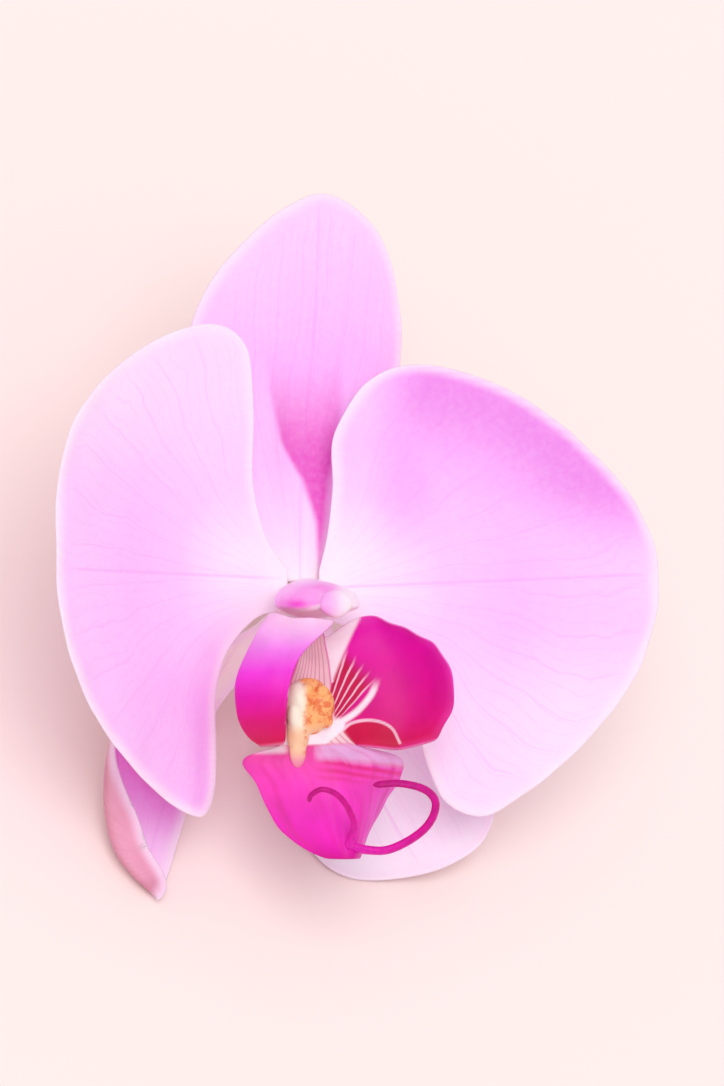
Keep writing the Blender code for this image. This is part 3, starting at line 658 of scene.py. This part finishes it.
# The lip's markings, drawn on the flower's face as it looks from a little to the left. Lines are
# points in millimetres, right of and above the flower's middle. A mark lies where each of its values
# is past its fade, from the first number to the second; "share" and "down" run across and down the fan,
# and a line's name stands for how far off it is, or with "Right" how far to its right.
lipMarking = {
    "slant": 22.0, "middleX": -2.2, "stripes": 5, "bandEvery": 0.95, "bandSlope": 0.16,
    "bandDepth": 0.4, "lilacSlope": 0.1, "arcTop": -16.0,
    "firstStripe": [(5.3, -8.2), (3.5, -13.8)], "lastStripe": [(8.7, -11.7), (4.3, -16.7)],
    "lines": {
        "wedge": [(9.4, -11.8), (8.5, -13.9), (6.7, -15.9), (4.4, -17.4)],
        "foot": [(4.4, -17.6), (2.2, -18.7), (0.6, -19.6)],
        "arc": [(4.9, -18.2), (5.9, -17.4), (7.7, -17.0), (9.7, -17.2), (11.3, -18.1), (12.3, -19.9)],
        "lobeEdge": [(3.9, -12.0), (5.6, -8.0), (7.5, -3.8)]},
    "throatMarks": {
        "fanShow": [("share", -0.12, -0.07), ("share", 1.13, 1.08), ("down", -0.1, 0.3), ("down", 1.16, 1.0)],
        "wedge": [("wedge", 0.561, 0.198), ("y", -11.6, -13.6)], "foot": [("foot", 1.2, 0.56)],
        "deep": [("arcRight", 0.0, 0.3), ("arc", 4.01, 4.0), ("x", 12.6, 12.0), ("y", -16.49, -16.5)],
        "edge": [("lobeEdgeRight", 0.15, -0.35), ("across", 1.0, 1.01)],
        "floor": [("offMiddle", 1.04, 0.96)], "below": [("offMiddle", 1.04, 0.96), ("y", -17.4, -18.4)]},
    "tongueMarks": {
        "lilac": [("slopedY", -22.3, -21.0), ("x", 0.8, 2.6)],
        # patch is a painted highlight: a pale patch at the tongue's upper left
        "salmon": [("y", -25.6, -23.6), ("x", 0.5, 4.0)], "patch": [("y", -21.4, -20.6), ("x", -1.2, -2.6)]},
    "pale": {"wedge": 1.0, "foot": 1.0, "edge": 1.0, "below": 1.0, "patch": 0.9},
}


# Where the markings lie: "fan" counts the crimson stripes on the right lobe's white foot and "fanShow"
# is where they show; "arc" is the distance to the pale line round its crimson patch, "deep"; the pale mark
# is the pale grounds with a painted highlight at the tongue's upper left; "floor" and "lilac" are the
# other grounds, and "salmon" is the streaked upper right of the tongue.
def lipMarks(points, across, along):
    look = lipMarking
    slant = math.radians(look["slant"])
    ownX, y, z = points.T
    ownX = np.where(across < -1, 2 * look["middleX"] - ownX, ownX)
    x = ownX * math.cos(slant) + z * math.sin(slant)
    place = np.stack([x, y], axis=1)
    ends = np.array([look["firstStripe"], look["lastStripe"]])
    off = []
    for top, foot in ends:
        step = foot - top
        off.append((step[1] * (x - top[0]) - step[0] * (y - top[1])) / np.linalg.norm(step))
    share = np.clip(off[0] / (off[0] - off[1] + 1e-9), -1, 2)[:, None]
    top = ends[0, 0] + (ends[1, 0] - ends[0, 0]) * share
    run = ends[0, 1] + (ends[1, 1] - ends[0, 1]) * share - top
    down = ((place - top) * run).sum(1) / (run ** 2).sum(1)
    share = share[:, 0]
    inThroat = smooth(1.02, 0.98, along)
    fields = {"x": x, "y": y, "slopedY": y + look["lilacSlope"] * x, "share": share, "down": down,
              "across": across, "offMiddle": np.abs(across)}
    for key, line in look["lines"].items():
        fields[key], fields[key + "Right"] = nearestOn(x, y, line)[:2]
    marks = {}
    for part, onPart in (("throatMarks", inThroat), ("tongueMarks", 1 - inThroat)):
        for key, fades in look[part].items():
            shares = [smooth(low, high, fields[field]) for field, low, high in fades]
            marks[key] = onPart * np.prod(shares, axis=0)
    bands = np.cos(2 * math.pi * (y + look["bandSlope"] * x) / look["bandEvery"])
    marks["salmon"] *= 1 - look["bandDepth"] * (1 - bands)
    pale = np.maximum.reduce([marks.pop(key) * strength for key, strength in look["pale"].items()])
    return {**marks, "pale": np.clip(pale, 0, 1) * (1 - marks["deep"]), "fan": share * (look["stripes"] - 1),
            "arc": np.where((along < 1) & (y < look["arcTop"]), fields["arc"], 9.0)}


# The whole lip as one sheet: a narrow claw, a throat with a lobe standing up on each side, and the
# tongue that runs on from the throat's floor. "across" is -2 to -1 on the left lobe, -1 to 1 on the
# floor and 1 to 2 on the right lobe; "along" is 0 to 1 down the throat and 1 to 2 down the tongue.
def buildLip(material):
    fold, start, end = lip["foldAt"], lip["throatFrom"], lip["throatTo"]
    across = np.linspace(-1, 1, lip["floorColumns"])[None, :]
    throatPlaces = np.linspace(start, end, lip["throatRows"])
    throatFloor = lipFloor(throatPlaces[:, None], across * fold)
    left = lobePatch(lipLobes["left"], throatFloor[:, 0])
    right = lobePatch(lipLobes["right"], throatFloor[:, -1])
    throat = np.hstack([left[:0:-1].transpose(1, 0, 2), throatFloor, right[1:].transpose(1, 0, 2)])
    lobeAcross = 1 + np.linspace(0, 1, lip["lobeColumns"])[1:]
    throatAcross = np.concatenate([-lobeAcross[::-1], across[0], lobeAcross])
    clawPlaces = np.linspace(0, start, lip["clawRows"])[:-1]
    claw = lipFloor(clawPlaces[:, None], across * (1 - (1 - fold) * clawPlaces / start)[:, None])
    tonguePlaces = np.linspace(end, len(lip["sections"]) - 1, lip["tongueRows"])[1:]
    widen = fold + (1 - fold) * smooth(end, end + lip["widenBy"], tonguePlaces)
    tongue = lipFloor(tonguePlaces[:, None], across * widen[:, None])

    grids = (throat, claw, tongue)
    sizes = [grid.shape[0] * grid.shape[1] for grid in grids]
    throatIndex, clawIndex, tongueIndex = (
        part.reshape(grid.shape[:2])
        for part, grid in zip(np.split(np.arange(sum(sizes)), np.cumsum(sizes)[:-1]), grids))
    onFloor = slice(lip["lobeColumns"] - 1, lip["lobeColumns"] - 1 + lip["floorColumns"])
    points = np.vstack([grid.reshape(-1, 3) for grid in grids])
    quads = np.vstack([gridQuads(throatIndex), gridQuads(np.vstack([clawIndex, throatIndex[:1, onFloor]])),
                       gridQuads(np.vstack([throatIndex[-1:, onFloor], tongueIndex]))])
    rowsAlong = ((throatPlaces - start) / (end - start), (clawPlaces / start - 1) * 0.2,
                 1 + (tonguePlaces - end) / (tonguePlaces[-1] - end))
    columnsAcross = (throatAcross, across[0], across[0])
    along = np.concatenate([np.repeat(rows, len(columns)) for rows, columns in zip(rowsAlong, columnsAcross)])
    across = np.concatenate([np.tile(columns, len(rows)) for rows, columns in zip(rowsAlong, columnsAcross)])
    points = relax(points, quads, lip["evenOut"])
    margin = borderDistance(points, quads)
    tongueShare = smooth(1.05, 1.3, along)
    x, y, z = points.T
    waves = (lip["ruffle"] * np.exp(-margin / lip["ruffleReach"])
             * rolling(y, z + x, lip["ruffleLength"], lip["ruffleSeed"])
             + lip["roll"] * rolling(x, y, lip["rollLength"], lip["rollSeed"]))
    waves = waves * np.maximum(smooth(1.0, 1.5, np.abs(across)), tongueShare)
    points = points + pointNormals(points, quads) * waves[:, None]
    nerves = np.abs(np.sin(math.pi * lip["nerves"] * across)) ** 0.7 - 1
    nerves = nerves * tongueShare * smooth(0.4, 2.0, margin)
    keel = bump(across, 0.0, lip["keelWidth"]) * smooth(1.0, 1.1, along) * smooth(1.85, 1.4, along)
    half = lip["edge"] + (lip["middle"] - lip["edge"]) * smooth(0.0, lip["thinMargin"], margin)
    up = half + lip["nerveDepth"] * nerves + lip["keel"] * keel
    values = {"across": across, "along": along, "margin": margin, **lipMarks(points, across, along)}
    addPiece("lip", *thicken(points, quads, up, half, values), material, "lip", "lip")


# Lip tissue: thicker and waxier than a petal, so its highlights are tighter, and its colour is deep
# because the pigment fills it. Crimson stripes fan out on a white ground at the foot of each side lobe.
# "lines" and "bends" are how often the tongue's streaks and the stripes' wobble repeat.
lipLook = {
    "grains": [(3.2, 3.0, 0.5), (0.22, 1.0, 0.5)],
    "bumps": (0.35, 0.08), "gloss": (0.45, 1.43, 0.25), "glow": (0.15, (1.0, 0.2, 0.6), 0.4),
    "lobe": [(0.0, "#e80cb0"), (0.4, "#e00098"), (0.75, "#dc0482"), (1.0, "#d8084e")],
    "lobeBack": [(0.0, "#f9c8ea"), (0.14, "#f5b0ec"), (0.32, "#f27ae8"), (0.48, "#ee3ad8"), (0.64, "#e80eb2"),
                 (0.8, "#dc0678"), (1.0, "#d4064c")],
    "tongue": [(0.0, "#e64a9c"), (0.3, "#fa44c0"), (0.6, "#f62cc6"), (0.85, "#e612b0"), (1.0, "#d80494")],
    "tongueBack": [(0.0, "#f5b4dc"), (0.4, "#f07cc8"), (1.0, "#e04ab0")],
    "pale": "#fee8f5", "floor": "#f6ccd6", "lilac": "#e9aee2", "salmon": "#e8308c", "rightSide": "#ee58ce",
    "stripe": "#c4104e", "gap": "#f6c2da", "deep": "#cc0648", "edge": "#ee52c0", "streak": "#dc2a88",
    "floorLine": "#cc5c88",
    "streaks": (7.0, 1.6), "nerves": 26.0, "wobble": 0.35, "stripeWidth": (-1.0, -0.45),
    "arcLine": (0.3, 0.06, 0.66), "mottle": (0.3, 0.75, 1.06, 0.92),
}


def lipMaterial():
    look = lipLook
    keys = ("along", "across", "margin", "back", "fan", "fanShow", "pale", "deep", "arc", "floor", "lilac",
            "salmon")
    material, add, values, (cloud, cells) = startMaterial("waxyLipSkin", keys, look["grains"])
    along, across, margin, back, fan, fanShow, pale, deep, arc, floor, lilac, salmon = values
    isLobe = add("MapRange", add("ABSOLUTE", across), ends=(0.98, 1.02))
    isTongue = add("MapRange", along, softEnds=(0.97, 1.03))
    down = add("SUBTRACT", along, 1.0, use_clamp=True)

    sideways, lengthways = (add("MULTIPLY", value, pace)
                            for value, pace in zip((across, along), look["streaks"]))
    streak = add("TexNoise", add("CombineXYZ", sideways, lengthways, 4.0), Scale=1.0, Detail=2.0)
    streaked = add("MapRange", streak, softEnds=(0.45, 0.7, 0.35))
    clear = add("MULTIPLY_ADD", streaked, -0.5, lilac, use_clamp=True)
    rightSide = add("MapRange", across, softEnds=(0.1, 0.75, 0.6))
    tongue = add("ValToRGB", down, stops=look["tongue"])
    for coat, amount in (("rightSide", rightSide), ("salmon", salmon), ("streak", streaked),
                         ("lilac", clear)):
        tongue = add("Mix", Factor=amount, A=tongue, B=look[coat])

    nerve = add("SINE", add("MULTIPLY", across, look["nerves"]))
    nerve = add("MapRange", nerve, softEnds=(0.35, 0.9, 0.5))
    lined = add("Mix", Factor=nerve, A=look["floor"], B=look["floorLine"])
    lane = add("MULTIPLY_ADD", cloud, look["wobble"], fan)
    wave = add("COSINE", add("MULTIPLY", lane, 2 * math.pi))
    stripe = add("MapRange", wave, softEnds=look["stripeWidth"])
    striped = add("Mix", Factor=stripe, A=look["gap"], B=look["stripe"])
    edge = add("MULTIPLY", add("MapRange", margin, softEnds=(1.2, 0.0, 0.3)), isLobe)
    # The pale coat holds the pale grounds and a painted highlight at the tongue's upper left.
    paler = add("MAXIMUM", add("MapRange", arc, softEnds=look["arcLine"]), pale)
    front = add("ValToRGB", along, stops=look["lobe"])
    for coat, amount in ((look["edge"], edge), (look["deep"], deep), (lined, floor), (tongue, isTongue),
                         (striped, fanShow), (look["pale"], paler)):
        front = add("Mix", Factor=amount, A=front, B=coat)

    lobeRear = add("ValToRGB", along, stops=look["lobeBack"])
    tongueRear = add("ValToRGB", down, stops=look["tongueBack"])
    rear = add("Mix", Factor=isTongue, A=lobeRear, B=tongueRear)
    colour = add("Mix", Factor=back, A=front, B=rear)
    mottle = add("MapRange", cloud, ends=look["mottle"])
    colour = add("VectorMath", colour, operation="SCALE", Scale=mottle)
    furrow = add("MULTIPLY", streak, 0.5)
    relief = add("MULTIPLY_ADD", cells, 0.35, furrow)
    return finishMaterial(material, look, colour, relief)


# The callus: a yellow two-horned crest on the lip's floor with a ridge running on to the tongue. Each
# body is a centre and its half sizes; they are fused and evened out so that they read as one growth.
callus = {
    "bodies": [((-4.8, -14.4, 10.2), (1.8, 2.4, 2.0)), ((-1.8, -15.0, 10.2), (1.9, 2.6, 2.0)),
               ((-3.2, -13.4, 9.8), (2.5, 1.9, 1.6)), ((-3.2, -16.6, 10.2), (2.4, 2.2, 1.6)),
               ((-4.9, -18.4, 10.7), (1.5, 2.9, 1.1)), ((-5.0, -20.6, 10.9), (1.1, 2.3, 0.8)),
               ((-5.7, -16.2, 11.2), (0.8, 1.6, 0.8)), ((-1.3, -16.9, 11.0), (1.0, 1.0, 0.8)),
               ((-3.9, -13.0, 11.3), (0.8, 0.8, 0.6)), ((-2.0, -13.3, 11.6), (0.9, 0.9, 0.6))],
    "voxel": 0.16, "evenOut": 5, "sides": 20, "rings": 13, "pole": 0.12,
    "ridgeFrom": (-16.8, -18.8), "leftFrom": (-3.8, -5.0), "tailFrom": (-20.4, -22.6),
    "grains": [(0.8, 2.0, 0.5), (1.1, 3.0, 0.7)],
    "bumps": (0.5, 0.15), "gloss": (0.38, 1.43, 0.5), "glow": (0.3, (1.0, 0.5, 0.3), 0.6),
    "top": "#fcb574", "side": "#fff3e2", "ridge": "#fbc9a6", "tail": "#f08ab0", "spot": "#e8683a",
}


# Callus tissue: firm, warty and moist, so each wart has a small highlight, and rusty specks lie on it.
def callusMaterial():
    material, add, (ridge, left, tail), (warts, spots) = startMaterial(
        "callusWarts", ("ridge", "left", "tail"), callus["grains"])
    plain = add("MAXIMUM", left, tail)
    body = add("SUBTRACT", 1.0, plain, use_clamp=True)
    spot = add("MULTIPLY", add("MapRange", spots, softEnds=(0.48, 0.6, 0.8)), body)
    colour = callus["top"]
    for coat, amount in (("side", left), ("ridge", ridge), ("tail", tail), ("spot", spot)):
        colour = add("Mix", Factor=amount, A=colour, B=callus[coat])
    return finishMaterial(material, callus, colour, warts)


def domeRings(centre, size):
    rings, pole = [], callus["pole"]
    turn = np.linspace(0, 2 * math.pi, callus["sides"], endpoint=False)
    for polar in np.linspace(pole, math.pi - pole, callus["rings"]):
        ring = np.stack([np.cos(turn) * math.sin(polar), np.sin(turn) * math.sin(polar),
                         np.full(len(turn), -math.cos(polar))], axis=1)
        rings.append(np.array(centre) + ring * np.array(size))
    return np.array(rings)


# Fuses closed shapes into one even mesh and gives back its points and faces.
def fuse(parts, voxel, rounds):
    mesh = bpy.data.meshes.new("fusing")
    points, faces, start = [], [], 0
    for partPoints, partFaces in parts:
        points.append(partPoints)
        faces += [[corner + start for corner in face] for face in partFaces]
        start += len(partPoints)
    mesh.from_pydata(np.vstack(points).tolist(), [], faces)
    piece = bpy.data.objects.new("fusing", mesh)
    bpy.context.collection.objects.link(piece)
    remesh = piece.modifiers.new("fuse", "REMESH")
    remesh.mode = "VOXEL"
    remesh.voxel_size = voxel
    even = piece.modifiers.new("even", "SMOOTH")
    even.iterations = rounds
    shaped = piece.evaluated_get(bpy.context.evaluated_depsgraph_get()).to_mesh()
    newPoints = np.array([vertex.co[:] for vertex in shaped.vertices])
    newFaces = [list(face.vertices) for face in shaped.polygons]
    bpy.data.objects.remove(piece)
    bpy.data.meshes.remove(mesh)
    return newPoints, newFaces


def buildCallus():
    bodies = [skinRings(domeRings(*body)) for body in callus["bodies"]]
    points, faces = fuse(bodies, callus["voxel"], callus["evenOut"])
    x, y, z = points.T
    values = {"ridge": smooth(*callus["ridgeFrom"], y), "left": smooth(*callus["leftFrom"], x),
              "tail": smooth(*callus["tailFrom"], y)}
    addPiece("lipCallus", points, faces, values, callusMaterial(), "lip", "lip")


# The tendrils' skin is waxy and full of pigment as the lip's is, only so thin that it hardly glows.
tendrils = {
    "right": [(-0.4, -32.0, 14.4), (1.0, -32.7, 14.6), (2.8, -33.1, 15.1), (5.0, -33.1, 16.0),
              (7.4, -32.0, 17.0), (9.3, -30.4, 18.0), (10.3, -28.6, 18.6), (10.3, -26.8, 18.9),
              (8.8, -25.4, 18.8), (5.8, -24.7, 18.2), (2.6, -24.9, 17.2)],
    "left": [(0.1, -32.8, 14.5), (0.4, -31.5, 15.8), (0.0, -29.6, 17.4), (-1.4, -27.4, 18.4),
             (-3.0, -25.9, 18.8), (-4.8, -25.3, 18.6), (-6.0, -26.0, 18.0), (-6.1, -26.9, 17.4)],
    # radii at the start, along the middle and at the end, and where they pass into each other
    "radius": {"right": (0.75, 0.6, 0.44), "left": (0.7, 0.5, 0.36)}, "flare": (0.2, 0.0),
    "thin": (0.3, 1.0), "flatten": 0.14, "caps": (6, 4), "rings": 90, "sides": 20,
    "ground": [(0.05, "#e81cb6"), (0.45, "#d40690"), (0.9, "#c20680")], "coats": [],
    "shade": (0.3, 0.7, 1.1, 0.85), "grains": [(0.6, 2.0, 0.5)],
    "bumps": (0.25, 0.05), "gloss": (0.42, 1.43, 0.25), "glow": (0.15, (1.0, 0.2, 0.6), 0.4),
}


# The two tendrils at the tongue's tip: broad where they leave it, then thin and slightly flattened.
def buildTendrils():
    material = skinMaterial("waxyTendril", tendrils, ("along",))
    for name, (start, middle, end) in tendrils["radius"].items():
        path = spread(curveThrough(tendrils[name]), tendrils["rings"])
        t = np.linspace(0, 1, len(path))
        radii = (middle + (start - middle) * smooth(*tendrils["flare"], t)
                 + (end - middle) * smooth(*tendrils["thin"], t))
        rings = tubeRings(path, roundEnds(radii, tendrils["caps"]), tendrils["sides"],
                          lambda place, angles: 1 - tendrils["flatten"] * np.cos(2 * angles))
        values = {"along": np.repeat(t, tendrils["sides"])}
        addPiece(name + "Tendril", *skinRings(rings), values, material, "lip", "lip")


# The column's skin is a waxy, fleshy white that blushes towards its end, and thick enough to glow.
column = {
    # z, middle y, half width, half height, from the neck to the hooded end
    "sections": [(-2.3, -1.6, 1.9, 1.9), (-1.8, -1.6, 2.25, 2.25), (0.7, -1.6, 2.3, 2.3),
                 (2.2, -1.7, 3.8, 2.6), (4.2, -1.9, 5.2, 2.6), (7.2, -2.0, 5.3, 2.45),
                 (10.0, -2.1, 4.6, 2.15), (11.2, -2.15, 3.8, 1.8), (11.8, -2.2, 2.9, 1.35),
                 (12.1, -2.2, 1.5, 0.7)],
    "lean": -0.1, "hollow": 0.85, "cavity": 0.9, "wings": 0.3, "sides": 72, "ringsPerSection": 7,
    "foot": -1.8, "length": 13.7, "grains": [(2.4, 3.0, 0.5), (0.22, 1.0, 0.5)],
    "bumps": (0.25, 0.05), "gloss": (0.42, 1.42, 0.5), "glow": (0.4, (1.0, 0.5, 0.9), 1.0),
    "ground": [(0.0, "#fff4fa"), (0.3, "#feeafa"), (0.6, "#fdc6f3"), (0.85, "#fba8eb"), (1.0, "#fba6ea")],
    # the blotch colour lays random blotches by the cloud noise, and also a spot of painted shade under the
    # hood's rim
    "blotch": "#f04cce", "under": "#f6d0e4", "rim": "#ffeaf6",
    "coats": [("blotch", "cloud", 0.4, 0.75, 0.35), ("under", "under"), ("blotch", "blotch"), ("rim", "rim")],
}


# The column: round at its neck, then a broad hood with a wing down each side and, below its end, the
# hollow that takes the pollen.
def buildColumn():
    lines = curveThrough(column["sections"], column["ringsPerSection"])
    angles = np.linspace(0, 2 * math.pi, column["sides"], endpoint=False)
    rings, along = [], []
    for z, middle, halfWidth, halfHeight in lines:
        rise = np.sin(angles)
        opened = smooth(1.5, 4.0, z)
        height = np.where(rise < 0, rise * (1 - (1 - column["hollow"]) * opened), rise) * halfHeight
        width = np.cos(angles) * halfWidth
        cavity = column["cavity"] * smooth(4.5, 9.0, z) * bump(width, 0.0, 0.5 * halfWidth) * (rise < 0)
        height = np.where(rise < 0, np.minimum(height + cavity, 0.3), height)
        width = width + column["wings"] * np.sign(width) * bump(rise, -0.35, 0.22) * smooth(3.0, 7.0, z)
        x = column["lean"] * max(z, 0) + width
        rings.append(np.stack([x, middle + height, np.full(len(angles), z)], axis=1))
        along.append(np.full(len(angles), np.clip((z - column["foot"]) / column["length"], 0, 1)))
    points, faces = skinRings(np.array(rings))
    x, y, z = points.T
    slant = math.radians(lipMarking["slant"])
    seen = x * math.cos(slant) + z * math.sin(slant)
    beyondNeck = smooth(3.0, 5.0, z)
    rightRim = 0.95 * smooth(3.4, 5.6, seen)
    lowerRim = 0.9 * bump(seen, -0.4, 1.9) * bump(y, -3.3, 0.32)
    values = {"along": np.concatenate(along),
              "under": smooth(-0.1, -0.6, np.tile(np.sin(angles), len(lines))) * smooth(3.0, 6.0, z),
              # painted shade: a magenta spot where the gap under the hood's rim lies in shadow
              "blotch": bump(seen, -0.7, 1.7) * bump(y, -2.3, 0.6) * beyondNeck,
              "rim": np.maximum(rightRim, lowerRim) * beyondNeck}
    material = skinMaterial("waxyColumnSkin", column, tuple(values))
    addPiece("column", points, faces, values, material, "column", "column")


# The cap is a thin papery shell over a fleshy dome, ivory and smooth, and it glows more than the column.
cap = {
    "centre": (-0.3, -2.2, 11.75), "size": (2.3, 1.6, 1.1), "droop": 0.3, "beak": 0.2, "furrow": 0.1,
    "furrowWidth": 0.45, "narrow": 0.25, "rimAngle": -0.35, "topGap": 0.03, "sides": 48, "rings": 26,
    "ground": "#ffe8f5", "blush": "#fba8ea", "tip": "#fbe9c8", "coats": [("blush", "blush"), ("tip", "tip")],
    "grains": [(0.5, 3.0, 0.5)],
    "bumps": (0.25, 0.06), "gloss": (0.4, 1.42, 0.5), "glow": (0.5, (1.0, 0.8, 0.6), 0.8),
}


# The anther cap: an ivory helmet over the column's end, furrowed down its middle, with a blunt beak.
def buildCap():
    angles = np.linspace(0, 2 * math.pi, cap["sides"], endpoint=False)
    sizeX, sizeY, sizeZ = cap["size"]
    rings = []
    for polar in np.linspace(cap["rimAngle"], 0.5 * math.pi - cap["topGap"], cap["rings"]):
        reach, rise = math.cos(polar), math.sin(polar)
        low = np.clip(-np.sin(angles), 0, 1) ** 3
        x = np.cos(angles) * sizeX * reach * (1 - cap["narrow"] * low)
        y = np.sin(angles) * sizeY * reach - cap["droop"] * rise - cap["beak"] * low * reach
        z = sizeZ * rise - cap["furrow"] * bump(x, 0.0, cap["furrowWidth"]) * (rise > 0)
        rings.append(np.stack([x, y, z + 0 * x], axis=1) + np.array(cap["centre"]))
    points, faces = skinRings(np.array(rings))
    x, y, z = (points - np.array(cap["centre"])).T
    values = {"blush": smooth(1.6, -1.8, x), "tip": 0.5 * smooth(-1.2, -2.2, y)}
    material = skinMaterial("ivoryAntherCap", cap, tuple(values))
    addPiece("antherCap", points, faces, values, material, "anther_cap", "anther")


# The stalk's skin is a smooth green rind with a dull wax bloom, browner in its furrows; its cut shows
# pale pith and a ring of veins.
stalk = {
    # the path from under the column to the cut end, and the radius at each point
    "path": [(0.0, -1.6, -1.5), (0.0, -1.6, -2.6), (0.0, -1.6, -4.2), (0.0, -1.4, -9.0), (0.0, -0.6, -15.0),
             (0.0, 1.2, -21.0), (0.0, 4.2, -26.4), (0.0, 8.4, -30.6), (0.0, 11.4, -32.4)],
    "radii": [2.5, 2.45, 2.15, 1.92, 1.75, 1.65, 1.6, 1.6, 1.72],
    "ribs": 6, "ribDepth": 0.075, "ribFade": (0.75, 0.35), "twist": 1.4, "rings": 150, "sides": 60,
    "ground": [(0.0, "#f3dfd0"), (0.1, "#eecbb8"), (0.35, "#dcb487"), (0.62, "#b7a25a"),
               (0.85, "#8d9440"), (1.0, "#7c8a3c")],
    "coats": [("furrow", "cloud", 0.4, 0.75, 0.4), ("furrow", "rib", 0.2, -1.0, 0.3)],
    "furrow": "#a8864e", "shade": (0.35, 0.7, 1.08, 0.9), "grains": [(3.0, 3.0, 0.5), (0.5, 2.0, 0.5)],
    "bumps": (0.3, 0.06), "gloss": (0.45, 1.42, 0.5), "glow": (0.2, (0.8, 0.8, 0.3), 0.5),
    # the cut end from its middle to its edge, and the rings that close it: how far in, and their place
    "cut": [(0.0, "#dfe0ae"), (0.55, "#dfe0ae"), (0.66, "#a39a58"), (0.76, "#dfe0ae"), (0.95, "#8e9a4c")],
    "cutRings": [(0.04, 0.95), (0.2, 0.8), (0.34, 0.66), (0.5, 0.5), (0.75, 0.25), (0.97, 0.0)],
}


# The stalk: a ribbed, slightly twisted ovary that grows out of the flower's back and thins into the
# stalk, which ends in a clean cut.
def buildStalk():
    path = spread(curveThrough(stalk["path"]), stalk["rings"])
    places = np.linspace(0, 1, len(path))
    lengths = np.linalg.norm(np.diff(curveThrough(stalk["path"], 1), axis=0), axis=1)
    knots = np.concatenate([[0], np.cumsum(lengths)]) / lengths.sum()
    radii = np.interp(places, knots, stalk["radii"])
    sides, wave = stalk["sides"], []

    def ribbed(place, angles):
        turned = angles + stalk["twist"] * place
        wave.append(np.cos(stalk["ribs"] * turned) * smooth(*stalk["ribFade"], place))
        return 1 + stalk["ribDepth"] * wave[-1] * smooth(0.0, 0.05, place)

    rings = tubeRings(path, radii, sides, ribbed)
    cutRings = [rings[-1] + (path[-1] - rings[-1]) * inward for inward, place in stalk["cutRings"]]
    points, faces = skinRings(np.concatenate([rings, np.array(cutRings)]))
    closing = len(cutRings) * sides
    values = {"along": np.concatenate([np.repeat(places, sides), np.ones(closing)]),
              "rib": np.concatenate([*wave, np.zeros(closing)]),
              "cut": np.repeat([1.0] * len(rings) + [place for inward, place in stalk["cutRings"]], sides)}
    material = skinMaterial("greenStalkSkin", stalk, tuple(values))
    addPiece("stalk", points, faces, values, material, "pedicel", "stalk")


view = {"turn": 22.0, "aim": (7.5, 5.4, 4.0), "distance": 1000.0, "lens": 262.0, "clipEnd": 20.0}


# The camera looks down on the flower from a little to its left, with the upper sepal towards the top.
def placeCamera():
    turn = math.radians(view["turn"])
    right = Vector((math.cos(turn), 0.0, math.sin(turn)))
    up = Vector((0.0, 1.0, 0.0))
    away = right.cross(up)
    x, y, z = view["aim"]
    aim = right * x + up * y + away * z
    data = bpy.data.cameras.new("camera")
    data.lens = view["lens"]
    data.clip_end = view["clipEnd"]
    camera = bpy.data.objects.new("camera", data)
    bpy.context.collection.objects.link(camera)
    place = Matrix.Translation((aim + away * view["distance"]) * mm)
    camera.matrix_world = lieMatrix @ place @ Matrix((right, up, away)).transposed().to_4x4()
    bpy.context.scene.camera = camera


studio = {"skyColour": "#ffffff", "sky": 0.72, "sunColour": "#ffffff", "sun": 1.2, "softness": 40.0,
          "sunFrom": (-0.2, -0.2, 0.95), "paper": "#fce9e6", "reach": 3.0}


# A plain soft room: even light from all round and a broad soft sun from the upper left.
def lightStudio():
    world = bpy.data.worlds.new("softRoom")
    world.use_nodes = True
    background = world.node_tree.nodes["Background"]
    background.inputs["Color"].default_value = (*linear(studio["skyColour"]), 1.0)
    background.inputs["Strength"].default_value = studio["sky"]
    bpy.context.scene.world = world
    bpy.context.scene.view_settings.view_transform = "Standard"
    data = bpy.data.lights.new("softSun", "SUN")
    data.energy = studio["sun"]
    data.angle = math.radians(studio["softness"])
    data.color = linear(studio["sunColour"])
    sun = bpy.data.objects.new("softSun", data)
    bpy.context.collection.objects.link(sun)
    sun.rotation_euler = (-Vector(studio["sunFrom"])).to_track_quat("-Z", "Y").to_euler()


# Matt paper: pressed fibres with hardly any gloss, so it only takes the soft shadow.
def layFloor():
    material, add, values, noises = startMaterial("mattPaper")
    add("OutputMaterial", add("BsdfPrincipled", **{
        "Base Color": studio["paper"], "Roughness": 0.9, "Specular IOR Level": 0.1}))
    mesh = bpy.data.meshes.new("floor")
    reach = studio["reach"]
    corners = [(-reach, -reach, 0), (reach, -reach, 0), (reach, reach, 0), (-reach, reach, 0)]
    mesh.from_pydata(corners, [], [(0, 1, 2, 3)])
    mesh.materials.append(material)
    floor = bpy.data.objects.new("floor", mesh)
    bpy.context.collection.objects.link(floor)


placeCamera()
lightStudio()
layFloor()
say("studio is set")
buildTepals()
buildLip(lipMaterial())
buildCallus()
buildTendrils()
buildColumn()
buildCap()
buildStalk()
